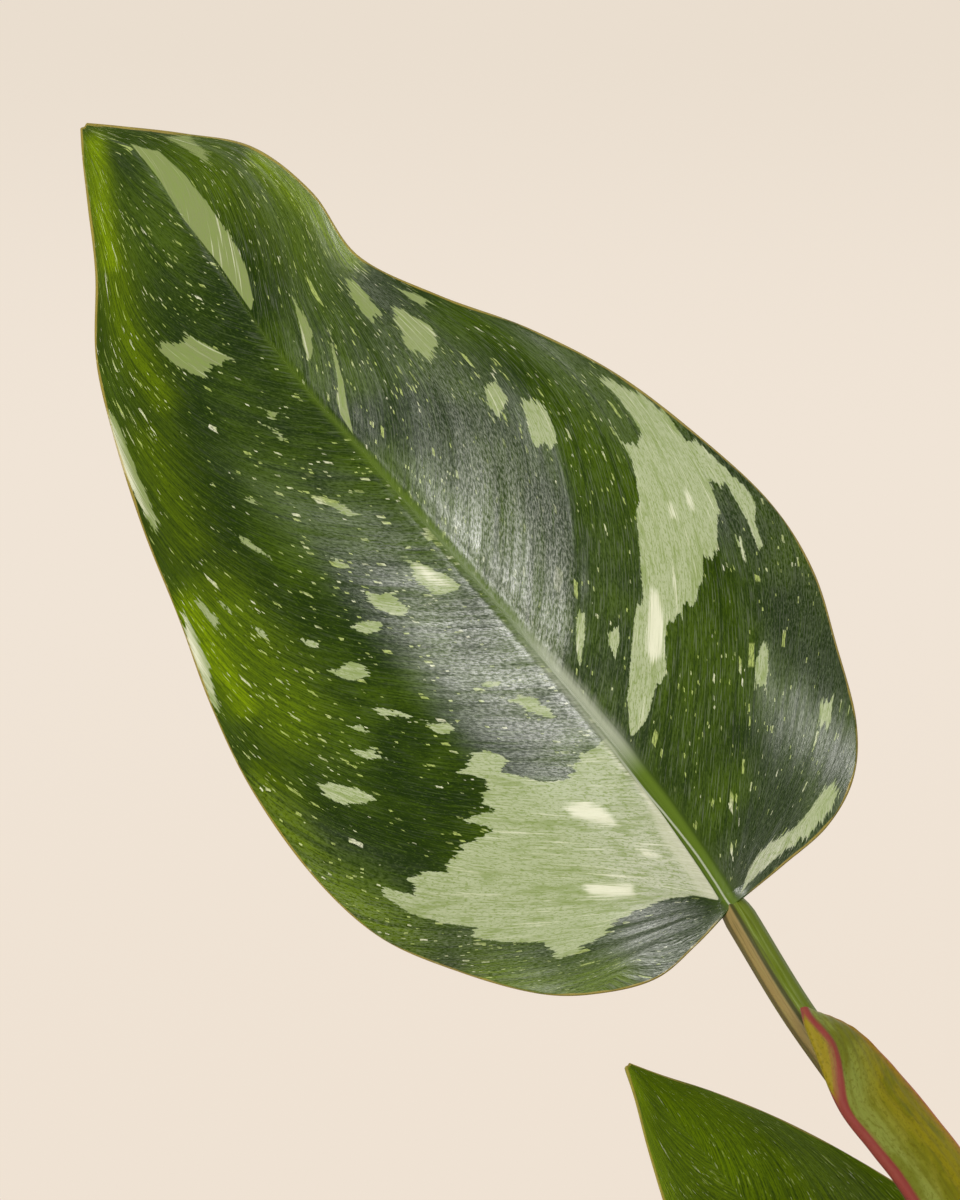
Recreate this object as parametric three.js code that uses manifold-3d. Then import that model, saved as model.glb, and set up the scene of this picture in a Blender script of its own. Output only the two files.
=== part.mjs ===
// A potted white princess philodendron: one leafy stem in soil, in a plain tapered clay pot.
// Millimetres, +Z up. The origin is the middle of the pot's flat foot, and -Y is the plant's front.
import * as THREE from "three";
import { mergeVertices } from "three/addons/utils/BufferGeometryUtils.js";
import Module from "manifold-3d";

const wasm = await Module();
wasm.setup();

// Pot and soil
const GAP = 0.3; // between pieces that touch
const POT_HEIGHT = 122;
const POT_RIM_RADIUS = 67;
const POT_FOOT_RADIUS = 48;
const POT_WALL = 4.2;
const POT_FLOOR = 7;
const POT_CORNER = 4; // the slope where the floor meets the wall inside
const POT_BAND_HEIGHT = 17; // the thicker band below the rim
const POT_BAND_STEP = 2.6;
const POT_SIDES = 40;
const DRAIN_HOLES = 3;
const DRAIN_RADIUS = 4.5;
const DRAIN_CIRCLE = 26;
const DRAIN_SIDES = 14;
const SOIL_BELOW_RIM = 13;
const SOIL_RELIEF = 1.6; // height of the lumps on its surface
const SOIL_CROWN = 2.5; // how far it rises towards the stem

// Stem
const STEM_FOOT = 48; // height of its lower end, in the soil
const STEM_RADIUS_LOW = 6.4;
const STEM_RADIUS_TOP = 5;
const STEM_SIDES = 12;
const STEM_STEPS = 48;
const NODE_SWELL = 0.5; // how far each ring stands out of the stem
const NODE_REACH = 1.6;
const NODE_BELOW = 3; // how far below the middle of a stalk's foot its ring lies
const STEM_TIP_SHARE = 0.045; // the part of its length that rounds off

// Stalks and the sheath
const STALK_RADIUS_LOW = 4;
const STALK_RADIUS_TOP = 2.3;
const STALK_TAPER = 2.2; // higher thins it closer to the stem
const STALK_DROP = 1.6; // how far its middle lies under the blade's upper face
const STALK_BACK = 1.1; // how far it ends short of the blade's base
const STALK_RISE = 0.34; // how far it starts up and sideways, as shares of its reach
const STALK_SPREAD = 0.2;
const STALK_ARRIVE = 0.3; // how far it ends in line with the midrib
const STALK_SIDES = 9;
const STALK_STEPS = 12;
const SHEATH_FRONT_BULGE = 1.5;
const SHEATH_BACK_BULGE = 3.8;
const SHEATH_STEPS = 14;

// Blades
const BLADE_THICKNESS = 0.8;
const BLADE_ROWS = 17; // pairs of side veins from the base to the tip
const BLADE_COLUMNS = [0.12, 0.36, 0.66, 1]; // shares of the way from the midrib to the margin
const MAIN_BLADE_ROWS = 27;
const MAIN_BLADE_COLUMNS = [0.08, 0.26, 0.46, 0.66, 0.84, 1];
const RIB_DEPTH_BASE = 2.3; // the midrib's keel under the blade
const RIB_DEPTH_TIP = 0.3;
const RIB_TAPER = 0.7; // lower thins it closer to the base
const VEIN_OUT = 0.62; // where a side vein bends, as shares of its way out and forward
const VEIN_FORWARD = 0.34;
const CREASE = 2; // how far from the midrib the fold rounds off
const ARCH = 0.11; // how far the margins turn down, as a share of the half width
const FOLD_EASE = 0.45; // how much the fold eases towards the margins
const RIPPLE_COUNT = 6;
const RIPPLE_LIFT = 3.4;
const RIPPLE_START = 0.12; // the share of the length where they begin
const RIPPLE_SPAN = 0.76;
const DRAW_FACTOR = 16807; // of the seeded draws
const DRAW_LIMIT = 2147483647;

const degrees = (angle) => (angle * Math.PI) / 180;
const point = (x, y, z) => new THREE.Vector3(x, y, z);
const smoothCurve = (rows) => new THREE.CatmullRomCurve3(rows.map((row) => point(...row)));

// The photographed leaf faces the viewer, who looks down on it by this angle.
const FACING_TILT = degrees(12);
const faceUp = point(0, Math.sin(FACING_TILT), Math.cos(FACING_TILT));
const faceOut = point(0, -Math.cos(FACING_TILT), Math.sin(FACING_TILT));

// The stem stands upright in the soil and leans slightly above it.
const stemLine = smoothCurve([
  [0, 0, STEM_FOOT],
  [0, 0, 78],
  [0, 0, 108],
  [1.5, -1, 132],
  [3.5, -1.5, 158],
  [5, 0, 182],
  [5.2, 0.4, 190],
]);

// The photographed leaf's stalk, from the stem up to the blade
const MAIN_STALK_LINE = [
  [4.4, 3, 187],
  [1.2, 6, 203],
  [-5.5, 7.4, 228],
  [-12, 8.9, 241.3],
  [-18, 10.8, 251.6],
  [-27.2, 15, 264.9],
  [-35.8, 20.6, 276.2],
  [-43.9, 26.5, 288.6],
];

// The sheath is folded along a keel. Each row is a point of the keel and the point of the open margin
// across from it, from the stem's end up to the sheath's tip.
const SHEATH_LINES = [
  [0, -4.5, 188.5, 10.5, -2.5, 189],
  [-2.2, -5, 205, 8.5, 0, 207],
  [-6.5, -3.4, 225, 3.2, 3, 229.5],
  [-12.6, -0.6, 243, -5.4, 6.6, 247],
  [-19.7, 2.2, 254.8, -12.3, 9.4, 257.6],
  [-24.2, 3.6, 260.8, -16.4, 10.8, 262.8],
  [-28.6, 5, 266.5, -21.1, 11.8, 268.5],
  [-32.6, 7.4, 274.9, -26.6, 12.6, 274.3],
  [-34.3, 8.6, 277.8, -30.2, 12.4, 276.7],
  [-35.2, 9.6, 279.4, -34, 11.6, 278.4],
];

// Each row is one pair of side veins of the photographed leaf: where it leaves the midrib (x, y), and
// where it meets the right margin (x, y) and the left margin (x, y). The blade's base is at 0, 0 and
// its tip lies along +Y.
const MAIN_LEAF_VEINS = [
  [0, -0.2, 1.8, -0.3, -1.8, -0.5],
  [0, 0.1, 9, -0.3, -7.5, -1.1],
  [0, 0.6, 17, 0, -14.5, -1.1],
  [0.1, 1.5, 24, 2.8, -21.4, 2],
  [0.4, 3.5, 29.4, 8.6, -28.2, 7.3],
  [0.9, 8, 34, 18, -35, 16.6],
  [1.6, 16, 38.3, 28.3, -40.6, 27.6],
  [2, 27, 39.7, 39.5, -42.3, 40.5],
  [2, 39, 38, 53, -41.2, 55],
  [1.8, 52, 34.9, 66.5, -38.1, 67.5],
  [1.4, 65, 29.5, 79.3, -33.7, 79.6],
  [0.9, 78, 22.8, 91, -29.6, 92],
  [0.3, 91, 17.7, 102.5, -24.6, 104.4],
  [0.6, 103, 18.4, 113.4, -19.4, 114.8],
  [1.8, 115, 16.1, 123.6, -11.9, 124.1],
  [3.1, 126, 10, 131.3, -6.7, 132.1],
  [3.3, 135, 3.7, 138.1, -2.9, 138],
  [0, 141.2, 0.5, 141.4, -0.5, 141.4],
];

// The same for half of any other leaf: where the vein leaves the midrib, as a share of the length, and
// where it meets the margin, as shares of the half width and of the length.
const COMMON_LEAF_VEINS = [
  [-0.002, 0.05, -0.004],
  [0.0, 0.19, -0.026],
  [0.005, 0.38, -0.036],
  [0.013, 0.59, -0.014],
  [0.032, 0.765, 0.035],
  [0.07, 0.9, 0.11],
  [0.14, 0.98, 0.205],
  [0.23, 1, 0.305],
  [0.33, 0.97, 0.41],
  [0.435, 0.895, 0.515],
  [0.545, 0.78, 0.618],
  [0.655, 0.63, 0.718],
  [0.765, 0.45, 0.815],
  [0.865, 0.262, 0.9],
  [0.943, 0.108, 0.96],
  [0.999, 0.014, 1],
];

// The photographed leaf's margins ripple: y is where along it, lift is towards the viewer, and reach is
// how far along the margin it spreads. side is 1 for the right margin and -1 for the left.
const MAIN_RIPPLES = [
  { side: 1, y: 101, lift: -6, reach: 13 },
  { side: 1, y: 121, lift: 2.5, reach: 9 },
  { side: 1, y: 66, lift: -2, reach: 16 },
  { side: -1, y: 70, lift: -2.5, reach: 18 },
  { side: -1, y: 100, lift: 2, reach: 12 },
  { side: 1, y: 18, lift: -3, reach: 14 },
  { side: -1, y: 14, lift: -3.5, reach: 15 },
];

// The leaves from the youngest down. base is the place where stalk and blade meet, node the height on
// the stem and heading the side of the stem, in degrees from +X towards +Y. azimuth and pitch aim the
// blade, or it faces the viewer with its midrib leaning left by lean. roll turns it about its midrib,
// bend is how far it curves back, twist how far it winds, and sag how far its tip falls, in millimetres.
const LEAVES = [
  { name: "leaf_1", base: [-44.4, 25, 290], length: 141.4, halfWidth: 41, node: 183,
    lean: 39.82, roll: 0, bend: 0, twist: 0, sag: 9, fold: 0.2 },
  { name: "leaf_2", base: [32, -44, 262], length: 132, halfWidth: 37, node: 175, heading: 300,
    azimuth: 308, pitch: 34, roll: -14, bend: 58, twist: 10, sag: 0, fold: 0.2, seed: 21 },
  { name: "leaf_3", base: [26, 58, 248], length: 128, halfWidth: 36, node: 166, heading: 65,
    azimuth: 60, pitch: 36, roll: 10, bend: 55, twist: -12, sag: 0, fold: 0.18, seed: 34 },
  { name: "leaf_4", base: [-52, -42, 214], length: 124, halfWidth: 35, node: 157, heading: 210,
    azimuth: 208, pitch: 22, roll: 12, bend: 56, twist: 8, sag: 0, fold: 0.2, seed: 47 },
  { name: "leaf_5", base: [67, -4, 206], length: 122, halfWidth: 34, node: 148, heading: 356,
    azimuth: 356, pitch: 20, roll: -16, bend: 58, twist: -8, sag: 0, fold: 0.18, seed: 52 },
  { name: "leaf_6", base: [-52, 48, 180], length: 112, halfWidth: 32, node: 139, heading: 140,
    azimuth: 138, pitch: 16, roll: -8, bend: 52, twist: 6, sag: 0, fold: 0.22, seed: 68 },
  { name: "leaf_7", base: [4, -72, 170], length: 110, halfWidth: 31, node: 130, heading: 268,
    azimuth: 262, pitch: 10, roll: 10, bend: 50, twist: 8, sag: 0, fold: 0.2, seed: 73 },
  { name: "leaf_8", base: [14.1, 31, 174.3], length: 113, halfWidth: 31, node: 122, heading: 62,
    lean: 38, roll: 40, bend: 0, twist: 0, sag: 5, fold: 0.16, seed: 86 },
  { name: "leaf_9", base: [-70, -16, 148], length: 92, halfWidth: 27, node: 114, heading: 196,
    azimuth: 190, pitch: 6, roll: 8, bend: 50, twist: 6, sag: 0, fold: 0.22, seed: 95 },
];
const isMain = (leaf) => leaf === LEAVES[0];

// Draws between 0 and 1, the same each time for one seed
function draws(seed) {
  let state = (seed * DRAW_FACTOR) % DRAW_LIMIT;
  return () => {
    state = (state * DRAW_FACTOR) % DRAW_LIMIT;
    return state / DRAW_LIMIT;
  };
}

// A smooth curve through rows of numbers, read at a share from 0 to 1
function rowAt(rows, share) {
  const last = rows.length - 1;
  const at = Math.min(share * last, last - 1e-9);
  const i = Math.floor(at);
  const t = at - i;
  const row = (k) => rows[Math.min(Math.max(k, 0), last)];
  return rows[0].map((_, column) => {
    const [a, b, c, d] = [i - 1, i, i + 1, i + 2].map((k) => row(k)[column]);
    const square = 2 * a - 5 * b + 4 * c - d;
    const cube = 3 * b - a - 3 * c + d;
    return b + ((c - a) * t + square * t ** 2 + cube * t ** 3) / 2;
  });
}

// A point of the flat blade: share picks the vein, and out runs from -1 (left margin) to 1 (right).
function onVein(leaf, share, out) {
  let root;
  let margin;
  if (isMain(leaf)) {
    const row = rowAt(MAIN_LEAF_VEINS, share);
    root = row.slice(0, 2);
    margin = out < 0 ? row.slice(4) : row.slice(2, 4);
  } else {
    const [rootY, marginX, marginY] = rowAt(COMMON_LEAF_VEINS, share);
    root = [0, rootY * leaf.length];
    margin = [Math.sign(out) * marginX * leaf.halfWidth, marginY * leaf.length];
  }
  const t = Math.abs(out);
  const elbow = [
    root[0] + (margin[0] - root[0]) * VEIN_OUT,
    root[1] + (margin[1] - root[1]) * VEIN_FORWARD,
  ];
  return [0, 1].map((k) => (1 - t) ** 2 * root[k] + 2 * t * (1 - t) * elbow[k] + t * t * margin[k]);
}

function ripplesOf(leaf) {
  if (isMain(leaf)) return MAIN_RIPPLES;
  const draw = draws(leaf.seed);
  return Array.from({ length: RIPPLE_COUNT }, (_, i) => ({
    side: i % 2 ? 1 : -1,
    y: leaf.length * (RIPPLE_START + (RIPPLE_SPAN * (i + draw())) / RIPPLE_COUNT),
    lift: RIPPLE_LIFT * (draw() * 2 - 1),
    reach: leaf.length * (0.07 + 0.05 * draw()),
  }));
}

// How far the blade stands off its flat frame at x, y: folded at the midrib, arched out to margins
// that turn down, and rippled along them
function heightOf(leaf, x, y) {
  const side = Math.abs(x) / leaf.halfWidth;
  const fold = leaf.fold * (Math.hypot(x, CREASE) - CREASE) * (1 - FOLD_EASE * side);
  const arch = -ARCH * leaf.halfWidth * side ** 3;
  const sag = -leaf.sag * Math.max(y / leaf.length, 0) ** 2;
  const near = leaf.ripples.filter((r) => r.side * x > 0);
  const ripple = near.reduce((sum, r) => sum + r.lift * Math.exp(-(((y - r.y) / r.reach) ** 2)), 0);
  return fold + arch + sag + ripple * Math.min(side, 1.1) ** 2;
}

// The blade's own axes: along its midrib, out of its upper face and across to its right
function axesOf(leaf) {
  const along = point(0, 0, 0);
  const out = point(0, 0, 0);
  if (leaf.lean !== undefined) {
    const lean = degrees(leaf.lean);
    along.set(-Math.sin(lean), 0, 0).addScaledVector(faceUp, Math.cos(lean));
    out.copy(faceOut);
  } else {
    const [azimuth, pitch] = [degrees(leaf.azimuth), degrees(leaf.pitch)];
    along.setFromSphericalCoords(1, Math.PI / 2 - pitch, azimuth);
    along.set(along.z, along.x, along.y);
    out.copy(along).cross(point(0, 0, 1)).normalize().cross(along);
  }
  out.applyAxisAngle(along, degrees(leaf.roll));
  return { along, out, across: along.clone().cross(out) };
}

// A point of the blade's upper face in space, from its place x, y on the flat blade
function onBlade(leaf, x, y) {
  const { across, along, out } = leaf.axes;
  const share = Math.max(y, 0) / leaf.length;
  const angle = degrees(leaf.bend) * share;
  const straight = leaf.bend === 0 || y <= 0;
  const radius = straight ? 0 : leaf.length / degrees(leaf.bend);
  const twist = degrees(leaf.twist) * share;
  const height = heightOf(leaf, x, y);
  const lifted = out.clone().multiplyScalar(Math.cos(angle)).addScaledVector(along, Math.sin(angle));
  return point(...leaf.base)
    .addScaledVector(along, straight ? y : radius * Math.sin(angle))
    .addScaledVector(out, -radius * (1 - Math.cos(angle)))
    .addScaledVector(across, x * Math.cos(twist) - height * Math.sin(twist))
    .addScaledVector(lifted, height * Math.cos(twist) + x * Math.sin(twist));
}

function normalAt(leaf, x, y) {
  const step = 0.05;
  const overX = onBlade(leaf, x + step, y).sub(onBlade(leaf, x - step, y));
  const overY = onBlade(leaf, x, y + step).sub(onBlade(leaf, x, y - step));
  return overX.cross(overY).normalize();
}

function geometryOf(points, faces) {
  const geometry = new THREE.BufferGeometry();
  const places = points.flatMap((p) => [p.x, p.y, p.z]);
  geometry.setAttribute("position", new THREE.Float32BufferAttribute(places, 3));
  geometry.setIndex(faces.flat());
  return geometry;
}

// A thin closed sheet from two grids of points, split into triangles alike on both faces
function sheetGeometry(upper, lower) {
  const rows = upper.length;
  const columns = upper[0].length;
  const middle = (columns - 1) / 2;
  const at = (r, c) => r * columns + c;
  const under = rows * columns;
  const faces = [];
  for (let r = 0; r < rows - 1; r++) {
    for (let c = 0; c < columns - 1; c++) {
      const [a, b, d, e] = [at(r, c), at(r, c + 1), at(r + 1, c + 1), at(r + 1, c)];
      const pair = c < middle ? [[a, b, e], [b, d, e]] : [[a, b, d], [a, d, e]];
      faces.push(...pair, ...pair.map(([i, j, k]) => [under + i, under + k, under + j]));
    }
  }
  const rim = [];
  for (let c = 0; c < columns - 1; c++) rim.push(at(0, c));
  for (let r = 0; r < rows - 1; r++) rim.push(at(r, columns - 1));
  for (let c = columns - 1; c > 0; c--) rim.push(at(rows - 1, c));
  for (let r = rows - 1; r > 0; r--) rim.push(at(r, 0));
  rim.forEach((a, i) => {
    const b = rim[(i + 1) % rim.length];
    faces.push([a, under + a, b], [b, under + a, under + b]);
  });
  return geometryOf([...upper.flat(), ...lower.flat()], faces);
}

// A closed form through rings of points, with a fan at each end
function ringsGeometry(rings) {
  const sides = rings[0].length;
  const middleOf = (ring) => ring.reduce((sum, p) => sum.add(p), point(0, 0, 0)).divideScalar(sides);
  const faces = [];
  for (let r = 0; r < rings.length - 1; r++) {
    for (let s = 0; s < sides; s++) {
      const [a, b] = [r * sides + s, r * sides + ((s + 1) % sides)];
      faces.push([a, b, b + sides], [a, b + sides, a + sides]);
    }
  }
  const lowMiddle = rings.length * sides;
  const top = (rings.length - 1) * sides;
  for (let s = 0; s < sides; s++) {
    const next = (s + 1) % sides;
    faces.push([lowMiddle, next, s], [lowMiddle + 1, top + s, top + next]);
  }
  return geometryOf([...rings.flat(), middleOf(rings[0]), middleOf(rings.at(-1))], faces);
}

// A round rod along a curve, whose radius changes with the share of the way along
function rodGeometry(curve, steps, sides, radiusAt) {
  const frames = curve.computeFrenetFrames(steps, false);
  const rings = frames.tangents.map((_, i) => {
    const middle = curve.getPointAt(i / steps);
    const radius = radiusAt(i / steps);
    return Array.from({ length: sides }, (_unused, s) => {
      const angle = (2 * Math.PI * s) / sides;
      return middle
        .clone()
        .addScaledVector(frames.normals[i], radius * Math.cos(angle))
        .addScaledVector(frames.binormals[i], radius * Math.sin(angle));
    });
  });
  return ringsGeometry(rings);
}

function solidOf(geometry) {
  const bare = geometry.clone();
  bare.deleteAttribute("normal");
  bare.deleteAttribute("uv");
  const merged = mergeVertices(bare, 1e-4);
  return new wasm.Manifold(
    new wasm.Mesh({
      numProp: 3,
      vertProperties: new Float32Array(merged.attributes.position.array),
      triVerts: new Uint32Array(merged.index.array),
    }),
  );
}

function geometryOfSolid(solid) {
  const mesh = solid.getMesh();
  const geometry = new THREE.BufferGeometry();
  geometry.setAttribute("position", new THREE.Float32BufferAttribute(mesh.vertProperties, 3));
  geometry.setIndex(Array.from(mesh.triVerts));
  return geometry;
}

// Materials
const clay = new THREE.MeshStandardMaterial({ color: 0xb5714e, roughness: 0.9, metalness: 0 });
const earth = new THREE.MeshStandardMaterial({ color: 0x35261b, roughness: 1, metalness: 0 });
const stemGreen = new THREE.MeshStandardMaterial({ color: 0x66733a, roughness: 0.6, metalness: 0 });
const stalkGreen = new THREE.MeshStandardMaterial({ color: 0x5c7a2c, roughness: 0.5, metalness: 0 });
const leafGreen = new THREE.MeshStandardMaterial({ color: 0x2f5a1f, roughness: 0.4, metalness: 0 });
const sheathOlive = new THREE.MeshStandardMaterial({ color: 0x8a8a20, roughness: 0.5, metalness: 0 });

const plant = new THREE.Group();
function addPiece(name, geometry, material) {
  const mesh = new THREE.Mesh(geometry, material);
  mesh.name = name;
  plant.add(mesh);
}

// The pot is turned about Z, with its drain holes cut through the floor.
const wallSpread = POT_RIM_RADIUS - POT_BAND_STEP - POT_FOOT_RADIUS;
const outerRadiusAt = (z) => POT_FOOT_RADIUS + (wallSpread * z) / POT_HEIGHT;
const innerRadiusAt = (z) => outerRadiusAt(z) - POT_WALL;
const turned = (profile) => {
  const outline = profile.map(([r, z]) => new THREE.Vector2(r, z));
  return new THREE.LatheGeometry(outline, POT_SIDES).rotateX(Math.PI / 2);
};

function potGeometry() {
  const bandLow = POT_HEIGHT - POT_BAND_HEIGHT;
  const outside = [
    [0, 0],
    [POT_FOOT_RADIUS - 2, 0],
    [outerRadiusAt(2), 2],
    [outerRadiusAt(bandLow / 2), bandLow / 2],
    [outerRadiusAt(bandLow), bandLow],
    [POT_RIM_RADIUS - 0.8, bandLow + 1.2],
    [POT_RIM_RADIUS - 0.2, bandLow + 3],
    [POT_RIM_RADIUS, POT_HEIGHT - 2.4],
    [POT_RIM_RADIUS - 0.9, POT_HEIGHT - 0.7],
    [POT_RIM_RADIUS - 2.8, POT_HEIGHT],
  ];
  const inside = [
    [innerRadiusAt(POT_HEIGHT) + 1.1, POT_HEIGHT - 0.6],
    [innerRadiusAt(POT_HEIGHT - 2.5), POT_HEIGHT - 2.5],
    [innerRadiusAt(POT_FLOOR + POT_CORNER), POT_FLOOR + POT_CORNER],
    [innerRadiusAt(POT_FLOOR) - POT_CORNER, POT_FLOOR],
    [0, POT_FLOOR],
  ];
  let pot = solidOf(turned([...outside, ...inside]));
  for (let i = 0; i < DRAIN_HOLES; i++) {
    const angle = (2 * Math.PI * i) / DRAIN_HOLES;
    const drill = new THREE.CylinderGeometry(DRAIN_RADIUS, DRAIN_RADIUS, 3 * POT_FLOOR, DRAIN_SIDES);
    drill.rotateX(Math.PI / 2).translate(DRAIN_CIRCLE * Math.cos(angle), DRAIN_CIRCLE * Math.sin(angle), 0);
    pot = pot.subtract(solidOf(drill));
  }
  return geometryOfSolid(pot);
}

// The soil fills the pot up to a lumpy surface, with a plain hole for the stem.
function soilGeometry() {
  const top = POT_HEIGHT - SOIL_BELOW_RIM;
  const clear = GAP + 0.3; // the slanted wall needs more than the gap sideways
  const hole = STEM_RADIUS_LOW + GAP + 0.2;
  const edge = innerRadiusAt(top) - clear;
  const surface = [0.84, 0.7, 0.55, 0.4, 0.25].map((share) => [edge * share, top]);
  const soil = turned([
    [0, POT_FLOOR + GAP],
    [innerRadiusAt(POT_FLOOR) - POT_CORNER - clear, POT_FLOOR + GAP],
    [innerRadiusAt(POT_FLOOR + POT_CORNER) - clear, POT_FLOOR + POT_CORNER + GAP],
    [edge, top - 1],
    ...surface,
    [hole, top],
    [hole, STEM_FOOT - GAP],
    [0, STEM_FOOT - GAP],
  ]);
  const place = soil.attributes.position;
  for (let i = 0; i < place.count; i++) {
    const [x, y, z] = [place.getX(i), place.getY(i), place.getZ(i)];
    const r = Math.hypot(x, y);
    if (z < top - 0.5 || r < hole + 1) continue;
    const lumps = Math.sin(x * 0.31 + 1.3) * Math.cos(y * 0.27) + 0.6 * Math.sin(x * 0.13 - y * 0.22);
    place.setZ(i, z + SOIL_RELIEF * lumps + SOIL_CROWN * (1 - r / edge));
  }
  return soil;
}

// The stem is ringed where each leaf grew and rounds off at its tip.
const stemTop = stemLine.points.at(-1).z;
function stemRadiusAt(share) {
  const z = STEM_FOOT + (stemTop - STEM_FOOT) * share;
  const plain = STEM_RADIUS_LOW + (STEM_RADIUS_TOP - STEM_RADIUS_LOW) * share;
  const from = LEAVES.map((leaf) => (z - leaf.node + NODE_BELOW) / NODE_REACH);
  const rings = from.reduce((sum, away) => sum + Math.exp(-(away ** 2)), 0);
  const pastShoulder = Math.max(share - 1 + STEM_TIP_SHARE, 0) / STEM_TIP_SHARE;
  return (plain + NODE_SWELL * rings) * Math.sqrt(Math.max(1 - pastShoulder ** 2, 0.02));
}
const stemGeometry = (extra) =>
  rodGeometry(stemLine, STEM_STEPS, STEM_SIDES, (share) => stemRadiusAt(share) + extra);
const stemRoom = solidOf(stemGeometry(GAP));

function stemPointAt(z) {
  let [low, high] = [0, 1];
  for (let i = 0; i < 30; i++) {
    const middle = (low + high) / 2;
    if (stemLine.getPoint(middle).z < z) low = middle;
    else high = middle;
  }
  return stemLine.getPoint(low);
}

// Each stalk leaves the stem on its own side and comes up to its blade along the midrib.
function stalkLine(leaf) {
  const start = stemPointAt(leaf.node - NODE_BELOW);
  if (isMain(leaf)) return smoothCurve([start.toArray(), ...MAIN_STALK_LINE]);
  const end = point(...leaf.base)
    .addScaledVector(leaf.axes.along, -STALK_BACK)
    .addScaledVector(leaf.axes.out, -STALK_DROP);
  const reach = end.distanceTo(start);
  const heading = degrees(leaf.heading);
  const leave = point(STALK_SPREAD * Math.cos(heading), STALK_SPREAD * Math.sin(heading), STALK_RISE);
  leave.multiplyScalar(reach);
  const arrive = leaf.axes.along.clone().multiplyScalar(-STALK_ARRIVE * reach);
  return new THREE.CubicBezierCurve3(start, start.clone().add(leave), end.clone().add(arrive), end);
}

function stalkSolid(leaf, extra) {
  const radiusAt = (share) =>
    STALK_RADIUS_TOP + (STALK_RADIUS_LOW - STALK_RADIUS_TOP) * (1 - share) ** STALK_TAPER + extra;
  return solidOf(rodGeometry(stalkLine(leaf), STALK_STEPS, STALK_SIDES, radiusAt));
}

function bladeGeometry(leaf) {
  const rows = isMain(leaf) ? MAIN_BLADE_ROWS : BLADE_ROWS;
  const half = isMain(leaf) ? MAIN_BLADE_COLUMNS : BLADE_COLUMNS;
  const columns = [...half.map((t) => -t).reverse(), 0, ...half];
  const shares = Array.from({ length: rows }, (_, r) => r / (rows - 1));
  const flat = shares.map((share) => columns.map((out) => onVein(leaf, share, out)));
  const upper = flat.map((row) => row.map(([x, y]) => onBlade(leaf, x, y)));
  const lower = flat.map((row, r) => {
    const rib = RIB_DEPTH_BASE + (RIB_DEPTH_TIP - RIB_DEPTH_BASE) * shares[r] ** RIB_TAPER;
    return row.map(([x, y], c) => {
      const depth = BLADE_THICKNESS + (columns[c] === 0 ? rib : 0);
      return onBlade(leaf, x, y).addScaledVector(normalAt(leaf, x, y), -depth);
    });
  });
  return sheetGeometry(upper, lower);
}

// The sheath wrapped the newest leaf. It stands on the stem's tip and clasps the youngest stalk.
function sheathGeometry() {
  const keelLine = smoothCurve(SHEATH_LINES.map((row) => row.slice(0, 3)));
  const marginLine = smoothCurve(SHEATH_LINES.map((row) => row.slice(3)));
  const rings = Array.from({ length: SHEATH_STEPS + 1 }, (_, i) => {
    const share = i / SHEATH_STEPS;
    const keel = keelLine.getPoint(share);
    const across = marginLine.getPoint(share).sub(keel);
    const front = across.clone().cross(keelLine.getTangent(share)).normalize();
    const fullness = across.length() / 10;
    const onFace = (s, bulge) =>
      keel
        .clone()
        .addScaledVector(across, s)
        .addScaledVector(front, bulge * fullness * Math.sin(Math.PI * s) ** 0.7);
    return [
      ...[0, 0.2, 0.5, 0.8].map((s) => onFace(s, SHEATH_FRONT_BULGE)),
      ...[1, 0.85, 0.6, 0.35, 0.12].map((s) => onFace(s, -SHEATH_BACK_BULGE)),
    ];
  });
  const whole = solidOf(ringsGeometry(rings));
  return geometryOfSolid(whole.subtract(stemRoom).subtract(stalkSolid(LEAVES[0], GAP)));
}

for (const leaf of LEAVES) {
  leaf.axes = axesOf(leaf);
  leaf.ripples = ripplesOf(leaf);
}

addPiece("pot", potGeometry(), clay);
addPiece("soil", soilGeometry(), earth);
addPiece("stem", stemGeometry(0), stemGreen);
addPiece("sheath", sheathGeometry(), sheathOlive);
for (const leaf of LEAVES) {
  addPiece(leaf.name + "_stalk", geometryOfSolid(stalkSolid(leaf, 0).subtract(stemRoom)), stalkGreen);
  addPiece(leaf.name + "_blade", bladeGeometry(leaf), leafGreen);
}

export default plant;
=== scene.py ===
# A potted white princess philodendron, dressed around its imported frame. Lengths in the dictionaries
# are millimetres in the part's own frame: +Z up, and -Y is the side that the viewer sees.
import math
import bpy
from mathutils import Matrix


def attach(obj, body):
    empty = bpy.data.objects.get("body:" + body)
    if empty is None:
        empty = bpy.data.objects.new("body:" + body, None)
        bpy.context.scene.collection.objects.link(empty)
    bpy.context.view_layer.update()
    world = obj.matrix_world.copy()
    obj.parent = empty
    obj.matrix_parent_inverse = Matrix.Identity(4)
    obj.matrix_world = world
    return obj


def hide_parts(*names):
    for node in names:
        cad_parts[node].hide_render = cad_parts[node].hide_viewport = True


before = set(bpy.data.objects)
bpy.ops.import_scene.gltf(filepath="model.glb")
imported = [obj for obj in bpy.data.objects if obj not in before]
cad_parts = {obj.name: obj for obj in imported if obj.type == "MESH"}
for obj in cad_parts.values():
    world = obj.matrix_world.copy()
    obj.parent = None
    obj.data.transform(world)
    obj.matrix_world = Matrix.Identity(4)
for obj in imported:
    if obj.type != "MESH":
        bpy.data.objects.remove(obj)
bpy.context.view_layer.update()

from types import SimpleNamespace

import bmesh
import bpy
import numpy as np
from mathutils import Vector

millimetre = 0.001
scene = bpy.context.scene
print("frame loaded:", len(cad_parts), "nodes")


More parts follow.
